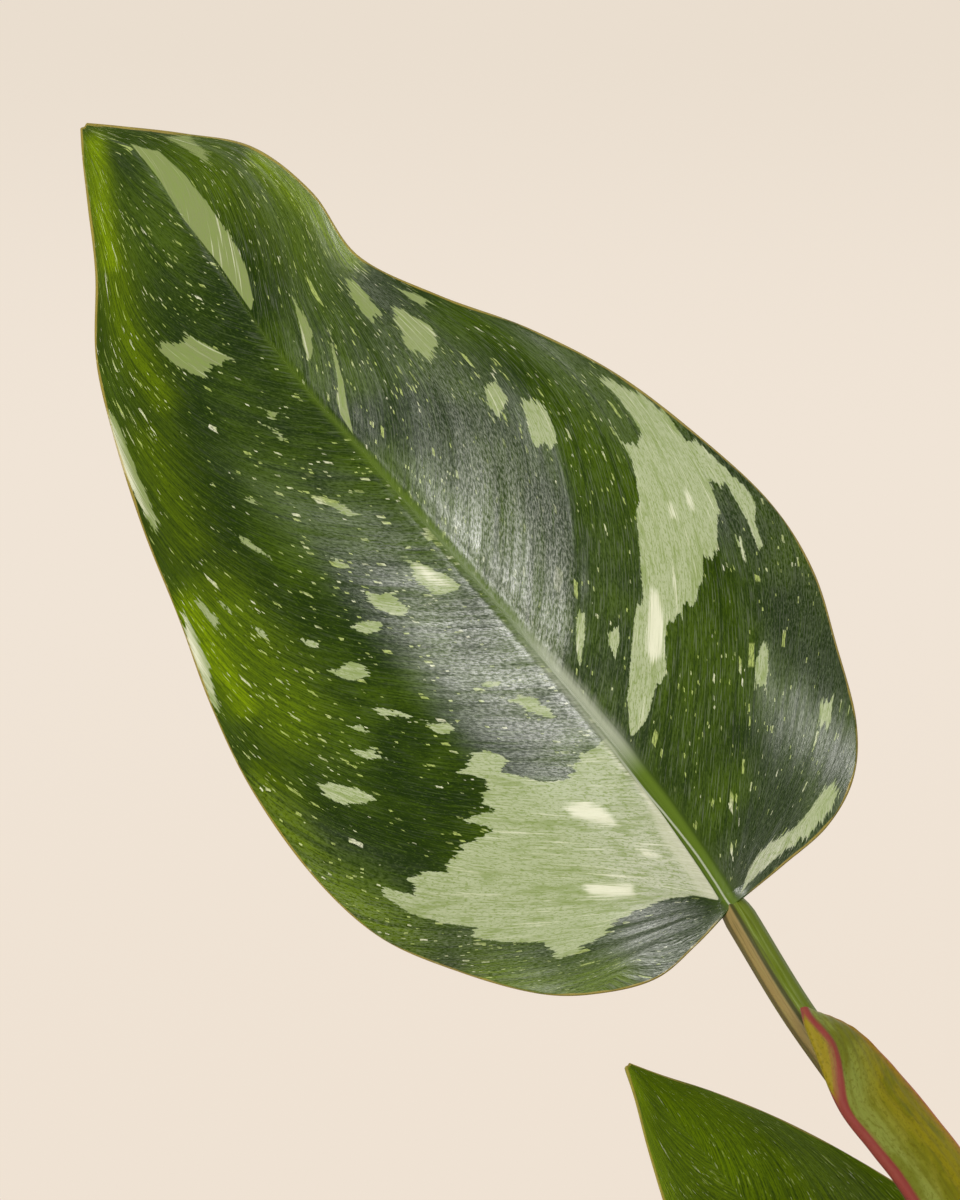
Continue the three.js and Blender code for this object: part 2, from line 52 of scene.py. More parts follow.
# Adds nodes to one tree, and is called n wherever a tree is built. An input is a plain value or the
# socket of another node, and what most methods return is the new node's first output.
class Nodes:
    def __init__(self, tree):
        self.tree = tree

    def feed(self, socket, value):
        if isinstance(value, bpy.types.NodeSocket):
            self.tree.links.new(value, socket)
        else:
            socket.default_value = value

    def add(self, kind, inputs=None, **settings):
        made = self.tree.nodes.new(kind)
        for name, value in settings.items():
            setattr(made, name, value)
        for key, value in (inputs or {}).items():
            self.feed(made.inputs[key], value)
        return made

    # Another tree as a node group in this one
    def use(self, group, inputs):
        return self.add("ShaderNodeGroup", inputs, node_tree=group).outputs

    def calc(self, operation, a, b=0.0, clamp=False):
        return self.add("ShaderNodeMath", {0: a, 1: b}, operation=operation, use_clamp=clamp).outputs[0]

    def chain(self, operation, first, *others):
        for other in others:
            first = self.calc(operation, first, other)
        return first

    def plus(self, *values):
        return self.chain("ADD", *values)

    def minus(self, *values):
        return self.chain("SUBTRACT", *values)

    def times(self, *values):
        return self.chain("MULTIPLY", *values)

    def over(self, a, b):
        return self.calc("DIVIDE", a, b)

    def largest(self, *values):
        return self.chain("MAXIMUM", *values)

    def smallest(self, *values):
        return self.chain("MINIMUM", *values)

    def size(self, value):
        return self.calc("ABSOLUTE", value)

    def remap(self, value, low, high, toLow=0.0, toHigh=1.0, smooth=True):
        return self.add(
            "ShaderNodeMapRange", {0: value, 1: low, 2: high, 3: toLow, 4: toHigh},
            interpolation_type="SMOOTHSTEP" if smooth else "LINEAR",
        ).outputs[0]

    # A value times others, each of them taken between its own bounds
    def faded(self, value, *pairs):
        return self.times(value, *(self.remap(other, *bounds) for other, bounds in pairs))

    def mix(self, share, a, b):
        inputs = {0: share, 6: a, 7: b}
        return self.add("ShaderNodeMix", inputs, data_type="RGBA", clamp_factor=True).outputs[2]

    # The base with a tint blended in as the value goes from low to high, up to a share
    def tint(self, base, tint, value, low, high, share=1.0):
        return self.mix(self.remap(value, low, high, 0.0, share), base, tint)

    def mixValue(self, share, a, b):
        return self.add("ShaderNodeMix", {0: share, 2: a, 3: b}, data_type="FLOAT").outputs[0]

    def ramp(self, value, stops):
        made = self.add("ShaderNodeValToRGB", {0: value})
        elements = made.color_ramp.elements
        while len(elements) < len(stops):
            elements.new(0.5)
        for element, (place, shade) in zip(elements, stops):
            element.position, element.color = place, shade
        return made.outputs[0]

    # A value read off a row of stops, each a place and the value there
    def graded(self, value, stops):
        low, span = stops[0][0], stops[-1][0] - stops[0][0]
        share = self.calc("DIVIDE", self.minus(value, low), span, True)
        shades = [((at - low) / span, (level, level, level, 1.0)) for at, level in stops]
        return self.add("ShaderNodeSeparateColor", {0: self.ramp(share, shades)}).outputs[0]

    def split(self, vector):
        return self.add("ShaderNodeSeparateXYZ", {0: vector}).outputs

    def join(self, x=0.0, y=0.0, z=0.0):
        return self.add("ShaderNodeCombineXYZ", {0: x, 1: y, 2: z}).outputs[0]

    def scaled(self, vector, scale):
        return self.add("ShaderNodeVectorMath", {0: vector, "Scale": scale}, operation="SCALE").outputs[0]

    def stretched(self, vector, scale):
        return self.add("ShaderNodeMapping", {"Vector": vector, "Scale": scale}).outputs[0]

    def noise(self, vector, scale, detail=2.0, roughness=0.5):
        inputs = {"Vector": vector, "Scale": scale, "Detail": detail, "Roughness": roughness}
        return self.add("ShaderNodeTexNoise", inputs).outputs[0]

    def place(self, kind="Object"):
        return self.add("ShaderNodeTexCoord").outputs[kind]

    def vectorOf(self, attribute):
        return self.add("ShaderNodeAttribute", attribute_name=attribute).outputs["Vector"]

    def valueOf(self, attribute):
        return self.add("ShaderNodeAttribute", attribute_name=attribute).outputs["Fac"]

    def store(self, geometry, name, value, kind="FLOAT", domain="POINT"):
        inputs = {"Geometry": geometry, "Name": name, "Value": value}
        return self.add("GeometryNodeStoreNamedAttribute", inputs, data_type=kind, domain=domain).outputs[0]

    def realized(self, geometry, finish):
        whole = self.add("GeometryNodeRealizeInstances", {"Geometry": geometry}).outputs[0]
        return self.add("GeometryNodeSetMaterial", {"Geometry": whole, "Material": finish}).outputs[0]


# A colour read as eyes see it on a screen, 0 to 255, as the linear value that shaders take
def colour(red, green, blue):
    parts = [part / 255 for part in (red, green, blue)]
    return (*(p / 12.92 if p <= 0.04045 else ((p + 0.055) / 1.055) ** 2.4 for p in parts), 1.0)


def startMaterial(name):
    material = bpy.data.materials.new(name)
    material.use_nodes = True
    return material, Nodes(material.node_tree), material.node_tree.nodes["Principled BSDF"]


# Base colour, bump from a height, and roughness. The bump's distance is in millimetres.
def finishSkin(n, skin, surface, height, strength, distance, roughness, specular=0.5):
    inputs = {"Strength": strength, "Distance": distance * millimetre, "Height": height}
    n.feed(skin.inputs["Base Color"], surface)
    n.feed(skin.inputs["Normal"], n.add("ShaderNodeBump", inputs).outputs[0])
    n.feed(skin.inputs["Roughness"], roughness)
    skin.inputs["Specular IOR Level"].default_value = specular


# A node group or a Geometry Nodes tree, with its named sockets: label, kind and first value
def startTree(kind, name, inputs, outputs):
    tree = bpy.data.node_groups.new(name, kind)
    if kind == "GeometryNodeTree":
        tree.is_modifier = True
    for direction, sockets in (("INPUT", inputs), ("OUTPUT", outputs)):
        for label, socketKind, *value in sockets:
            socket = tree.interface.new_socket(label, in_out=direction, socket_type="NodeSocket" + socketKind)
            if value:
                socket.default_value = value[0]
    return Nodes(tree), tree.nodes.new("NodeGroupInput").outputs, tree.nodes.new("NodeGroupOutput").inputs


# A dictionary's values by their names
def named(values):
    return SimpleNamespace(**values)


# Meshes

def unit(vectors):
    return vectors / np.maximum(np.linalg.norm(vectors, axis=-1, keepdims=True), 1e-9)


def smoothMesh(name, points, faces, attributes=None):
    mesh = bpy.data.meshes.new(name)
    mesh.from_pydata((np.asarray(points) * millimetre).tolist(), [], [list(face) for face in faces])
    for label, values in (attributes or {}).items():
        values = np.asarray(values, np.float32)
        kind = "FLOAT_VECTOR" if values.ndim == 2 else "FLOAT"
        data = mesh.attributes.new(label, kind, "POINT").data
        data.foreach_set("vector" if values.ndim == 2 else "value", values.ravel())
    mesh.polygons.foreach_set("use_smooth", np.ones(len(mesh.polygons), bool))
    mesh.update()
    return mesh


# A closed form through rings of points, with a fan at each end. The two ends' middles come last.
def ringFaces(rings, sides):
    start = np.arange(rings - 1)[:, None] * sides
    at = (start + np.arange(sides)).ravel()
    following = (start + (np.arange(sides) + 1) % sides).ravel()
    faces = np.stack((at, following, following + sides, at + sides), -1).tolist()
    low, top = rings * sides, (rings - 1) * sides
    for side in range(sides):
        after = (side + 1) % sides
        faces += [(low, after, side), (low + 1, top + side, top + after)]
    return faces


def aroundTurn(count):
    return np.linspace(0, 2 * np.pi, count, endpoint=False)


# Rings of points round a line, from a table of radii with a row for each ring
def ringsAlong(line, radii, reference):
    angle = aroundTurn(radii.shape[1])[None, :, None]
    tangent = unit(np.gradient(line, axis=0))
    first = unit(np.cross(tangent, reference))
    second = np.cross(tangent, first)
    return line[:, None] + radii[..., None] * (first[:, None] * np.cos(angle) + second[:, None] * np.sin(angle))


def addObject(name, data):
    made = bpy.data.objects.new(name, data)
    scene.collection.objects.link(made)
    return made


# An object with its modifiers applied, as a plain mesh
def takeMesh(carrier, *used):
    depsgraph = bpy.context.evaluated_depsgraph_get()
    made = bpy.data.meshes.new_from_object(carrier.evaluated_get(depsgraph))
    carrier.modifiers.clear()
    for spent in (carrier, *used):
        bpy.data.objects.remove(spent)
    return made


# Runs a Geometry Nodes tree on a mesh, with its inputs set by their names
def meshFromTree(name, mesh, tree, values):
    carrier = addObject(name, mesh)
    modifier = carrier.modifiers.new(name, "NODES")
    modifier.node_group = tree
    for item in tree.interface.items_tree:
        if item.in_out == "INPUT" and item.name in values:
            modifier[item.identifier] = values[item.name]
    made = takeMesh(carrier)
    made.name = name
    return made


def addPiece(name, mesh, material, slot, *replaced):
    piece = addObject(name, mesh)
    mesh.materials.clear()
    mesh.materials.append(material)
    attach(piece, "root")
    if replaced:
        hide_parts(*replaced)
    return piece


# Camera, floor and light

view = {
    "target": (-79.4, 33.8, 331.2),
    "elevation": 12.0,
    "distance": 900.0,
    "heightSeen": 166.67,  # millimetres from the bottom to the top of the picture, at the target
}
studio = {
    "floorSize": 40.0,  # metres
    "floorNear": colour(222, 212, 199),
    "floorFar": (colour(239, 226, 211), colour(240, 228, 214), colour(234, 222, 207)),
    "farFrom": 0.14,  # metres from the pot's middle: where the floor turns into an even backdrop
    "farTo": 0.7,
    "farSteps": ((0.8, 1.7), (1.8, 3.4)),  # metres: where one of its three tones fades into the next
    "worldColour": colour(255, 252, 248),
    "sideStrength": 1.3,
    "topStrength": 0.85,
    "sideToTop": (0.35, 0.9),  # how steeply up a direction points where one fades into the other
    "darkFrom": 0.25,  # behind the viewer the room is dark: cosines of the angles where that starts and ends
    "darkTo": 0.72,
    "darkShare": 0.03,
    "lampColour": (1.0, 0.98, 0.95),
    "lamps": {  # degrees round from the viewer and up, metres away and across, and power in watts
        "rightLamp": dict(turn=8, rise=20, away=1.5, size=0.3, power=9.5),
        "leftLamp": dict(turn=-27, rise=8, away=1.5, size=0.3, power=14.5),
        "highLamp": dict(turn=-60, rise=60, away=1.8, size=1.2, power=12.0),
        "backLamp": dict(turn=150, rise=40, away=2.2, size=1.2, power=5.0),
    },
}
viewTarget = np.array(view["target"]) * millimetre
elevation = math.radians(view["elevation"])
towardsViewer = np.array((0.0, -math.cos(elevation), math.sin(elevation)))


def aimAt(thing, place, target):
    thing.location = place
    thing.rotation_euler = (Vector(target) - Vector(place)).to_track_quat("-Z", "Y").to_euler()


def addCamera():
    camera = addObject("camera", bpy.data.cameras.new("camera"))
    aimAt(camera, viewTarget + towardsViewer * view["distance"] * millimetre, viewTarget)
    camera.data.sensor_fit = "VERTICAL"
    camera.data.angle = 2 * math.atan(view["heightSeen"] / 2 / view["distance"])
    camera.data.clip_end = 100
    scene.camera = camera
    scene.view_settings.view_transform = "Standard"
    scene.view_settings.look = "None"


# Plain near the pot, and further out an even backdrop that gives its own light
def addFloor():
    material, n, skin = startMaterial("paleFloor")
    skin.inputs["Base Color"].default_value = studio["floorNear"]
    skin.inputs["Roughness"].default_value = 0.9
    skin.inputs["Specular IOR Level"].default_value = 0.1
    away = n.add("ShaderNodeVectorMath", {0: n.place()}, operation="LENGTH").outputs["Value"]
    backdrop, *tones = studio["floorFar"]
    for tone, (start, end) in zip(tones, studio["farSteps"]):
        backdrop = n.tint(backdrop, tone, away, start, end)
    glow = n.add("ShaderNodeEmission", {"Color": backdrop}).outputs[0]
    share = n.remap(away, studio["farFrom"], studio["farTo"])
    mixed = n.add("ShaderNodeMixShader", {0: share, 1: skin.outputs[0], 2: glow}).outputs[0]
    n.feed(n.tree.nodes["Material Output"].inputs["Surface"], mixed)
    half = studio["floorSize"] / 2 / millimetre
    corners = [(-half, -half, 0), (half, -half, 0), (half, half, 0), (-half, half, 0)]
    floor = addObject("floor", smoothMesh("floor", corners, [(0, 1, 2, 3)]))
    floor.data.materials.append(material)


def lightRoom():
    world = bpy.data.worlds.new("studio")
    scene.world = world
    world.use_nodes = True
    n, backdrop = Nodes(world.node_tree), world.node_tree.nodes["Background"].inputs
    direction = n.place("Generated")
    facing = n.add("ShaderNodeVectorMath", {0: direction, 1: towardsViewer}, operation="DOT_PRODUCT")
    lit = n.remap(n.split(direction)[2], *studio["sideToTop"], studio["sideStrength"], studio["topStrength"])
    dark = n.remap(facing.outputs["Value"], studio["darkFrom"], studio["darkTo"], 1.0, studio["darkShare"])
    seen = n.add("ShaderNodeLightPath").outputs["Is Camera Ray"]
    n.feed(backdrop["Color"], n.mix(seen, studio["worldColour"], studio["floorFar"][2]))
    n.feed(backdrop["Strength"], n.mixValue(seen, n.times(lit, dark), 1.0))


def addLamp(name, lamp):
    light = bpy.data.lights.new(name, "AREA")
    light.shape = "SQUARE"
    light.size = lamp["size"]
    light.energy = lamp["power"]
    light.color = studio["lampColour"]
    turn, rise = math.radians(lamp["turn"]), math.radians(lamp["rise"])
    way = np.array((math.sin(turn) * math.cos(rise), -math.cos(turn) * math.cos(rise), math.sin(rise)))
    made = addObject(name, light)
    aimAt(made, viewTarget + way * lamp["away"], viewTarget)
    made.visible_camera = False


addCamera()
addFloor()
lightRoom()
for name, lamp in studio["lamps"].items():
    addLamp(name, lamp)
print("camera, floor and light in place")


# Leaves: the same forms as in the part's source, on a finer grid

blade = {
    "thickness": 0.8,
    "marginThickness": 0.4,
    "marginReach": 2.5,  # how far from the margin the blade starts to thin
    "reliefReach": 1.5,  # how far from the margin its relief starts to fade
    "rimBulge": 0.16,
    "ribDepthBase": 2.3,
    "ribDepthTip": 0.3,
    "ribTaper": 0.7,
    "ribReach": 1.5,
    "veinOut": 0.62,
    "veinForward": 0.34,
    "crease": 2.0,
    "arch": 0.11,
    "foldEase": 0.45,
    "rippleCount": 6,
    "rippleLift": 3.4,
    "rippleStart": 0.12,
    "rippleSpan": 0.76,
    "rippleReach": (0.07, 0.05),  # shares of the length: the least, and how much a draw adds at most
    # the fresh margin is a yellower green, partly painted light showing through the thin blade
    "freshReach": 3.2,  # how wide the fresh margin is, on leaves that have one
    "gloss": 0.5,  # of leaves that name none
    "drawFactor": 16807,
    "drawLimit": 2147483647,
}
# Each row is one pair of side veins of the photographed leaf: its root on the midrib (x, y), and its
# end at the right margin (x, y) and at the left margin (x, y).
mainLeafVeins = np.array([
    (0, -0.2, 1.8, -0.3, -1.8, -0.5),
    (0, 0.1, 9, -0.3, -7.5, -1.1),
    (0, 0.6, 17, 0, -14.5, -1.1),
    (0.1, 1.5, 24, 2.8, -21.4, 2),
    (0.4, 3.5, 29.4, 8.6, -28.2, 7.3),
    (0.9, 8, 34, 18, -35, 16.6),
    (1.6, 16, 38.3, 28.3, -40.6, 27.6),
    (2, 27, 39.7, 39.5, -42.3, 40.5),
    (2, 39, 38, 53, -41.2, 55),
    (1.8, 52, 34.9, 66.5, -38.1, 67.5),
    (1.4, 65, 29.5, 79.3, -33.7, 79.6),
    (0.9, 78, 22.8, 91, -29.6, 92),
    (0.3, 91, 17.7, 102.5, -24.6, 104.4),
    (0.6, 103, 18.4, 113.4, -19.4, 114.8),
    (1.8, 115, 16.1, 123.6, -11.9, 124.1),
    (3.1, 126, 10, 131.3, -6.7, 132.1),
    (3.3, 135, 3.7, 138.1, -2.9, 138),
    (0, 141.2, 0.5, 141.4, -0.5, 141.4),
])
# The same for half of any other leaf: the root as a share of the length, and the end as shares of the
# half width and of the length.
commonLeafVeins = np.array([
    (-0.002, 0.05, -0.004),
    (0.0, 0.19, -0.026),
    (0.005, 0.38, -0.036),
    (0.013, 0.59, -0.014),
    (0.032, 0.765, 0.035),
    (0.07, 0.9, 0.11),
    (0.14, 0.98, 0.205),
    (0.23, 1, 0.305),
    (0.33, 0.97, 0.41),
    (0.435, 0.895, 0.515),
    (0.545, 0.78, 0.618),
    (0.655, 0.63, 0.718),
    (0.765, 0.45, 0.815),
    (0.865, 0.262, 0.9),
    (0.943, 0.108, 0.96),
    (0.999, 0.014, 1),
])
mainRipples = [  # side, y, lift, reach
    (1, 101, -6, 13),
    (1, 121, 2.5, 9),
    (1, 66, -2, 16),
    (-1, 70, -2.5, 18),
    (-1, 100, 2, 12),
    (1, 18, -3, 14),
    (-1, 14, -3.5, 15),
]
leaves = {
    "leaf_1": dict(base=(-44.4, 25, 290), length=141.4, halfWidth=41, node=183, lean=39.82, roll=0,
        bend=0, twist=0, sag=9, fold=0.2, gloss=1.0),
    "leaf_2": dict(base=(32, -44, 262), length=132, halfWidth=37, node=175, heading=300, azimuth=308,
        pitch=34, roll=-14, bend=58, twist=10, sag=0, fold=0.2, seed=21),
    "leaf_3": dict(base=(26, 58, 248), length=128, halfWidth=36, node=166, heading=65, azimuth=60,
        pitch=36, roll=10, bend=55, twist=-12, sag=0, fold=0.18, seed=34),
    "leaf_4": dict(base=(-52, -42, 214), length=124, halfWidth=35, node=157, heading=210, azimuth=208,
        pitch=22, roll=12, bend=56, twist=8, sag=0, fold=0.2, seed=47),
    "leaf_5": dict(base=(67, -4, 206), length=122, halfWidth=34, node=148, heading=356, azimuth=356,
        pitch=20, roll=-16, bend=58, twist=-8, sag=0, fold=0.18, seed=52),
    "leaf_6": dict(base=(-52, 48, 180), length=112, halfWidth=32, node=139, heading=140, azimuth=138,
        pitch=16, roll=-8, bend=52, twist=6, sag=0, fold=0.22, seed=68),
    "leaf_7": dict(base=(4, -72, 170), length=110, halfWidth=31, node=130, heading=268, azimuth=262,
        pitch=10, roll=10, bend=50, twist=8, sag=0, fold=0.2, seed=73),
    "leaf_8": dict(base=(14.1, 31, 174.3), length=113, halfWidth=31, node=122, heading=62, lean=38,
        roll=40, bend=0, twist=0, sag=5, fold=0.16, seed=86, patchSeed=412,
        freshMargin=0.9, freshBase=0.38, gloss=0.12),
    "leaf_9": dict(base=(-70, -16, 148), length=92, halfWidth=27, node=114, heading=196, azimuth=190,
        pitch=6, roll=8, bend=50, twist=6, sag=0, fold=0.22, seed=95),
}
faceUp = np.array((0, math.sin(elevation), math.cos(elevation)))


def isMain(leaf):
    return leaf is leaves["leaf_1"]


def sizeOf(leaf):  # beside the photographed leaf's
    return leaf["length"] / leaves["leaf_1"]["length"]


def draws(seed):
    state = (seed * blade["drawFactor"]) % blade["drawLimit"]
    while True:
        state = (state * blade["drawFactor"]) % blade["drawLimit"]
        yield state / blade["drawLimit"]


# A smooth curve through rows of numbers, read at shares from 0 to 1
def rowAt(rows, share):
    last = len(rows) - 1
    at = np.minimum(np.asarray(share) * last, last - 1e-9)
    i = np.floor(at).astype(int)
    t = (at - i)[..., None]
    a, b, c, d = (rows[np.clip(i + k, 0, last)] for k in (-1, 0, 1, 2))
    square = 2 * a - 5 * b + 4 * c - d
    cube = 3 * b - a - 3 * c + d
    return b + ((c - a) * t + square * t**2 + cube * t**3) / 2


# The side veins' roots and their ends at the margin on one side, for shares of the way to the tip
def veinEnds(leaf, share, side):
    if isMain(leaf):
        row = rowAt(mainLeafVeins, share)
        return row[..., :2], row[..., 2:4] if side > 0 else row[..., 4:]
    row = rowAt(commonLeafVeins, share)
    root = np.stack((0 * row[..., 0], row[..., 0] * leaf["length"]), -1)
    margin = np.stack((side * row[..., 1] * leaf["halfWidth"], row[..., 2] * leaf["length"]), -1)
    return root, margin


# Places x, y on the flat blade for a grid of shares and of ways out, from -1 (left) to 1 (right)
def flatGrid(leaf, shares, outs):
    halves = []
    for side in (-1, 1):
        root, margin = (ends[:, None] for ends in veinEnds(leaf, shares, side))
        t = np.abs(outs[outs < 0] if side < 0 else outs[outs >= 0])[None, :, None]
        elbow = root + (margin - root) * (blade["veinOut"], blade["veinForward"])
        halves.append((1 - t) ** 2 * root + 2 * t * (1 - t) * elbow + t**2 * margin)
    return np.concatenate(halves, 1)


def ripplesOf(leaf):
    if isMain(leaf):
        return mainRipples
    draw, length, ripples = draws(leaf["seed"]), leaf["length"], []
    least, added = blade["rippleReach"]
    for i in range(blade["rippleCount"]):
        share = blade["rippleStart"] + blade["rippleSpan"] * (i + next(draw)) / blade["rippleCount"]
        lift = blade["rippleLift"] * (next(draw) * 2 - 1)
        ripples.append((1 if i % 2 else -1, length * share, lift, length * (least + added * next(draw))))
    return ripples


def heightOf(leaf, x, y):
    side = np.abs(x) / leaf["halfWidth"]
    height = leaf["fold"] * (np.hypot(x, blade["crease"]) - blade["crease"]) * (1 - blade["foldEase"] * side)
    height -= blade["arch"] * leaf["halfWidth"] * side**3
    height -= leaf["sag"] * np.maximum(y / leaf["length"], 0) ** 2
    for way, middle, lift, reach in leaf["ripples"]:
        ripple = lift * np.exp(-(((y - middle) / reach) ** 2)) * np.minimum(side, 1.1) ** 2
        height += np.where(way * x > 0, ripple, 0)
    return height


def turnAbout(vector, axis, angle):
    return (
        vector * math.cos(angle)
        + np.cross(axis, vector) * math.sin(angle)
        + axis * np.dot(axis, vector) * (1 - math.cos(angle))
    )


# Along the blade, out of its face and across it
def axesOf(leaf):
    if "lean" in leaf:
        lean = math.radians(leaf["lean"])
        along = np.array((-math.sin(lean), 0, 0)) + faceUp * math.cos(lean)
        out = towardsViewer
    else:
        azimuth, pitch = math.radians(leaf["azimuth"]), math.radians(leaf["pitch"])
        flat = (math.cos(azimuth), math.sin(azimuth))
        along = np.array((math.cos(pitch) * flat[0], math.cos(pitch) * flat[1], math.sin(pitch)))
        out = np.cross(unit(np.cross(along, (0, 0, 1))), along)
    out = turnAbout(out, along, math.radians(leaf["roll"]))
    return along, out, np.cross(along, out)


# Points of the blade in space, for places x, y on the flat blade and an extra height above its face
def onBlade(leaf, x, y, extra=0.0):
    along, out, across = leaf["axes"]
    share = np.maximum(y, 0) / leaf["length"]
    bend, twist = math.radians(leaf["bend"]), math.radians(leaf["twist"]) * share
    angle = bend * share
    radius = leaf["length"] / bend if bend else 0.0
    straight = (bend == 0) | (y <= 0)
    height = heightOf(leaf, x, y) + extra
    forward = np.where(straight, y, radius * np.sin(angle))[..., None]
    lifted = out * np.cos(angle)[..., None] + along * np.sin(angle)[..., None]
    return (
        np.array(leaf["base"])
        + along * forward
        - out * (radius * (1 - np.cos(angle)))[..., None]
        + across * (x * np.cos(twist) - height * np.sin(twist))[..., None]
        + lifted * (height * np.cos(twist) + x * np.sin(twist))[..., None]
    )


def normalsAt(leaf, x, y, step=0.05):
    overX = onBlade(leaf, x + step, y) - onBlade(leaf, x - step, y)
    overY = onBlade(leaf, x, y + step) - onBlade(leaf, x, y - step)
    return unit(np.cross(overX, overY))


for leaf in leaves.values():
    leaf["axes"] = axesOf(leaf)
    leaf["ripples"] = ripplesOf(leaf)

# How the veins run over a blade: they leave the midrib at a wide angle and bend towards the tip, and
# the lowest ones all start at its base. Lengths are for a leaf as long as the photographed one.
venation = {
    "reach": 37.5,
    "marginShare": 0.8,
    "fanRadius": 25.0,
    "fanFurthest": -60.0,
    "nearest": 0.3,  # places nearer the base than this count as this far
    "beyond": 1.1,  # and places beyond the margin as this share of the way out
    "lobeTop": {True: 2.0, False: 3.0},  # where the margin turns up, on the photographed leaf and others
}


def midribAt(leaf, y):
    if not isMain(leaf):
        return np.zeros_like(y)
    return np.interp(y, mainLeafVeins[:, 1], mainLeafVeins[:, 0])


# For each place on the flat blade: how far along its vein it lies, how far across the veins, its side,
# and its distance from the midrib
def veinPlaces(leaf, x, y):
    scale = sizeOf(leaf)
    away = x - midribAt(leaf, y)
    side = np.where(away < 0, -1.0, 1.0)
    widths = []
    for way in (-1, 1):
        margin = veinEnds(leaf, np.linspace(0, 1, 120), way)[1]
        margin = margin[margin[:, 1] > venation["lobeTop"][isMain(leaf)]]
        widths.append(np.interp(y, margin[:, 1], np.abs(margin[:, 0] - midribAt(leaf, margin[:, 1]))))
    width = np.maximum(np.where(away < 0, *widths), 0.5)
    t = np.minimum(np.abs(away) / width, venation["beyond"])
    root = y + venation["reach"] * scale * np.log(1 - venation["marginShare"] * t)
    radius = np.maximum(np.hypot(away, y), venation["nearest"])
    fan = np.maximum(root * venation["fanRadius"] * scale / radius, venation["fanFurthest"])
    return np.where(root > 0, np.hypot(away, y - root), radius), np.where(root > 0, root, fan), side, away


# Which way the veins run, from the midrib out
def veinDirection(leaf, x, y, step=0.1):
    overX = veinPlaces(leaf, x + step, y)[1] - veinPlaces(leaf, x - step, y)[1]
    overY = veinPlaces(leaf, x, y + step)[1] - veinPlaces(leaf, x, y - step)[1]
    direction = unit(np.stack((-overY, overX), -1))
    return direction * np.sign(direction[..., :1] * np.where(x < 0, -1, 1)[..., None] + 1e-9)


def distanceToLine(x, y, line, closed):
    line = np.asarray(line, float)
    ends = np.roll(line, -1, 0) if closed else line[1:]
    best = np.full(x.shape, 1e9)
    for (ax, ay), (bx, by) in zip(line, ends):
        dx, dy = bx - ax, by - ay
        t = np.clip(((x - ax) * dx + (y - ay) * dy) / max(dx * dx + dy * dy, 1e-9), 0, 1)
        best = np.minimum(best, (x - ax - t * dx) ** 2 + (y - ay - t * dy) ** 2)
    return np.sqrt(best)


def insideLine(x, y, line):
    inside = np.zeros(x.shape, bool)
    for (ax, ay), (bx, by) in zip(line, np.roll(line, -1, 0)):
        if ay != by:
            inside ^= ((ay > y) != (by > y)) & (x < (bx - ax) * (y - ay) / (by - ay) + ax)
    return inside


# Above zero inside any of the outlines, in millimetres from the nearest edge, and below zero outside
def depthIn(x, y, outlines, far=6.0):
    depth = np.full(x.shape, -far)
    for line in outlines:
        low, high = line.min(0) - far, line.max(0) + far
        near = (x > low[0]) & (x < high[0]) & (y > low[1]) & (y < high[1])
        if near.any():
            away = distanceToLine(x[near], y[near], line, True)
            signed = np.where(insideLine(x[near], y[near], line), away, -away)
            depth[near] = np.maximum(depth[near], signed)
    return depth
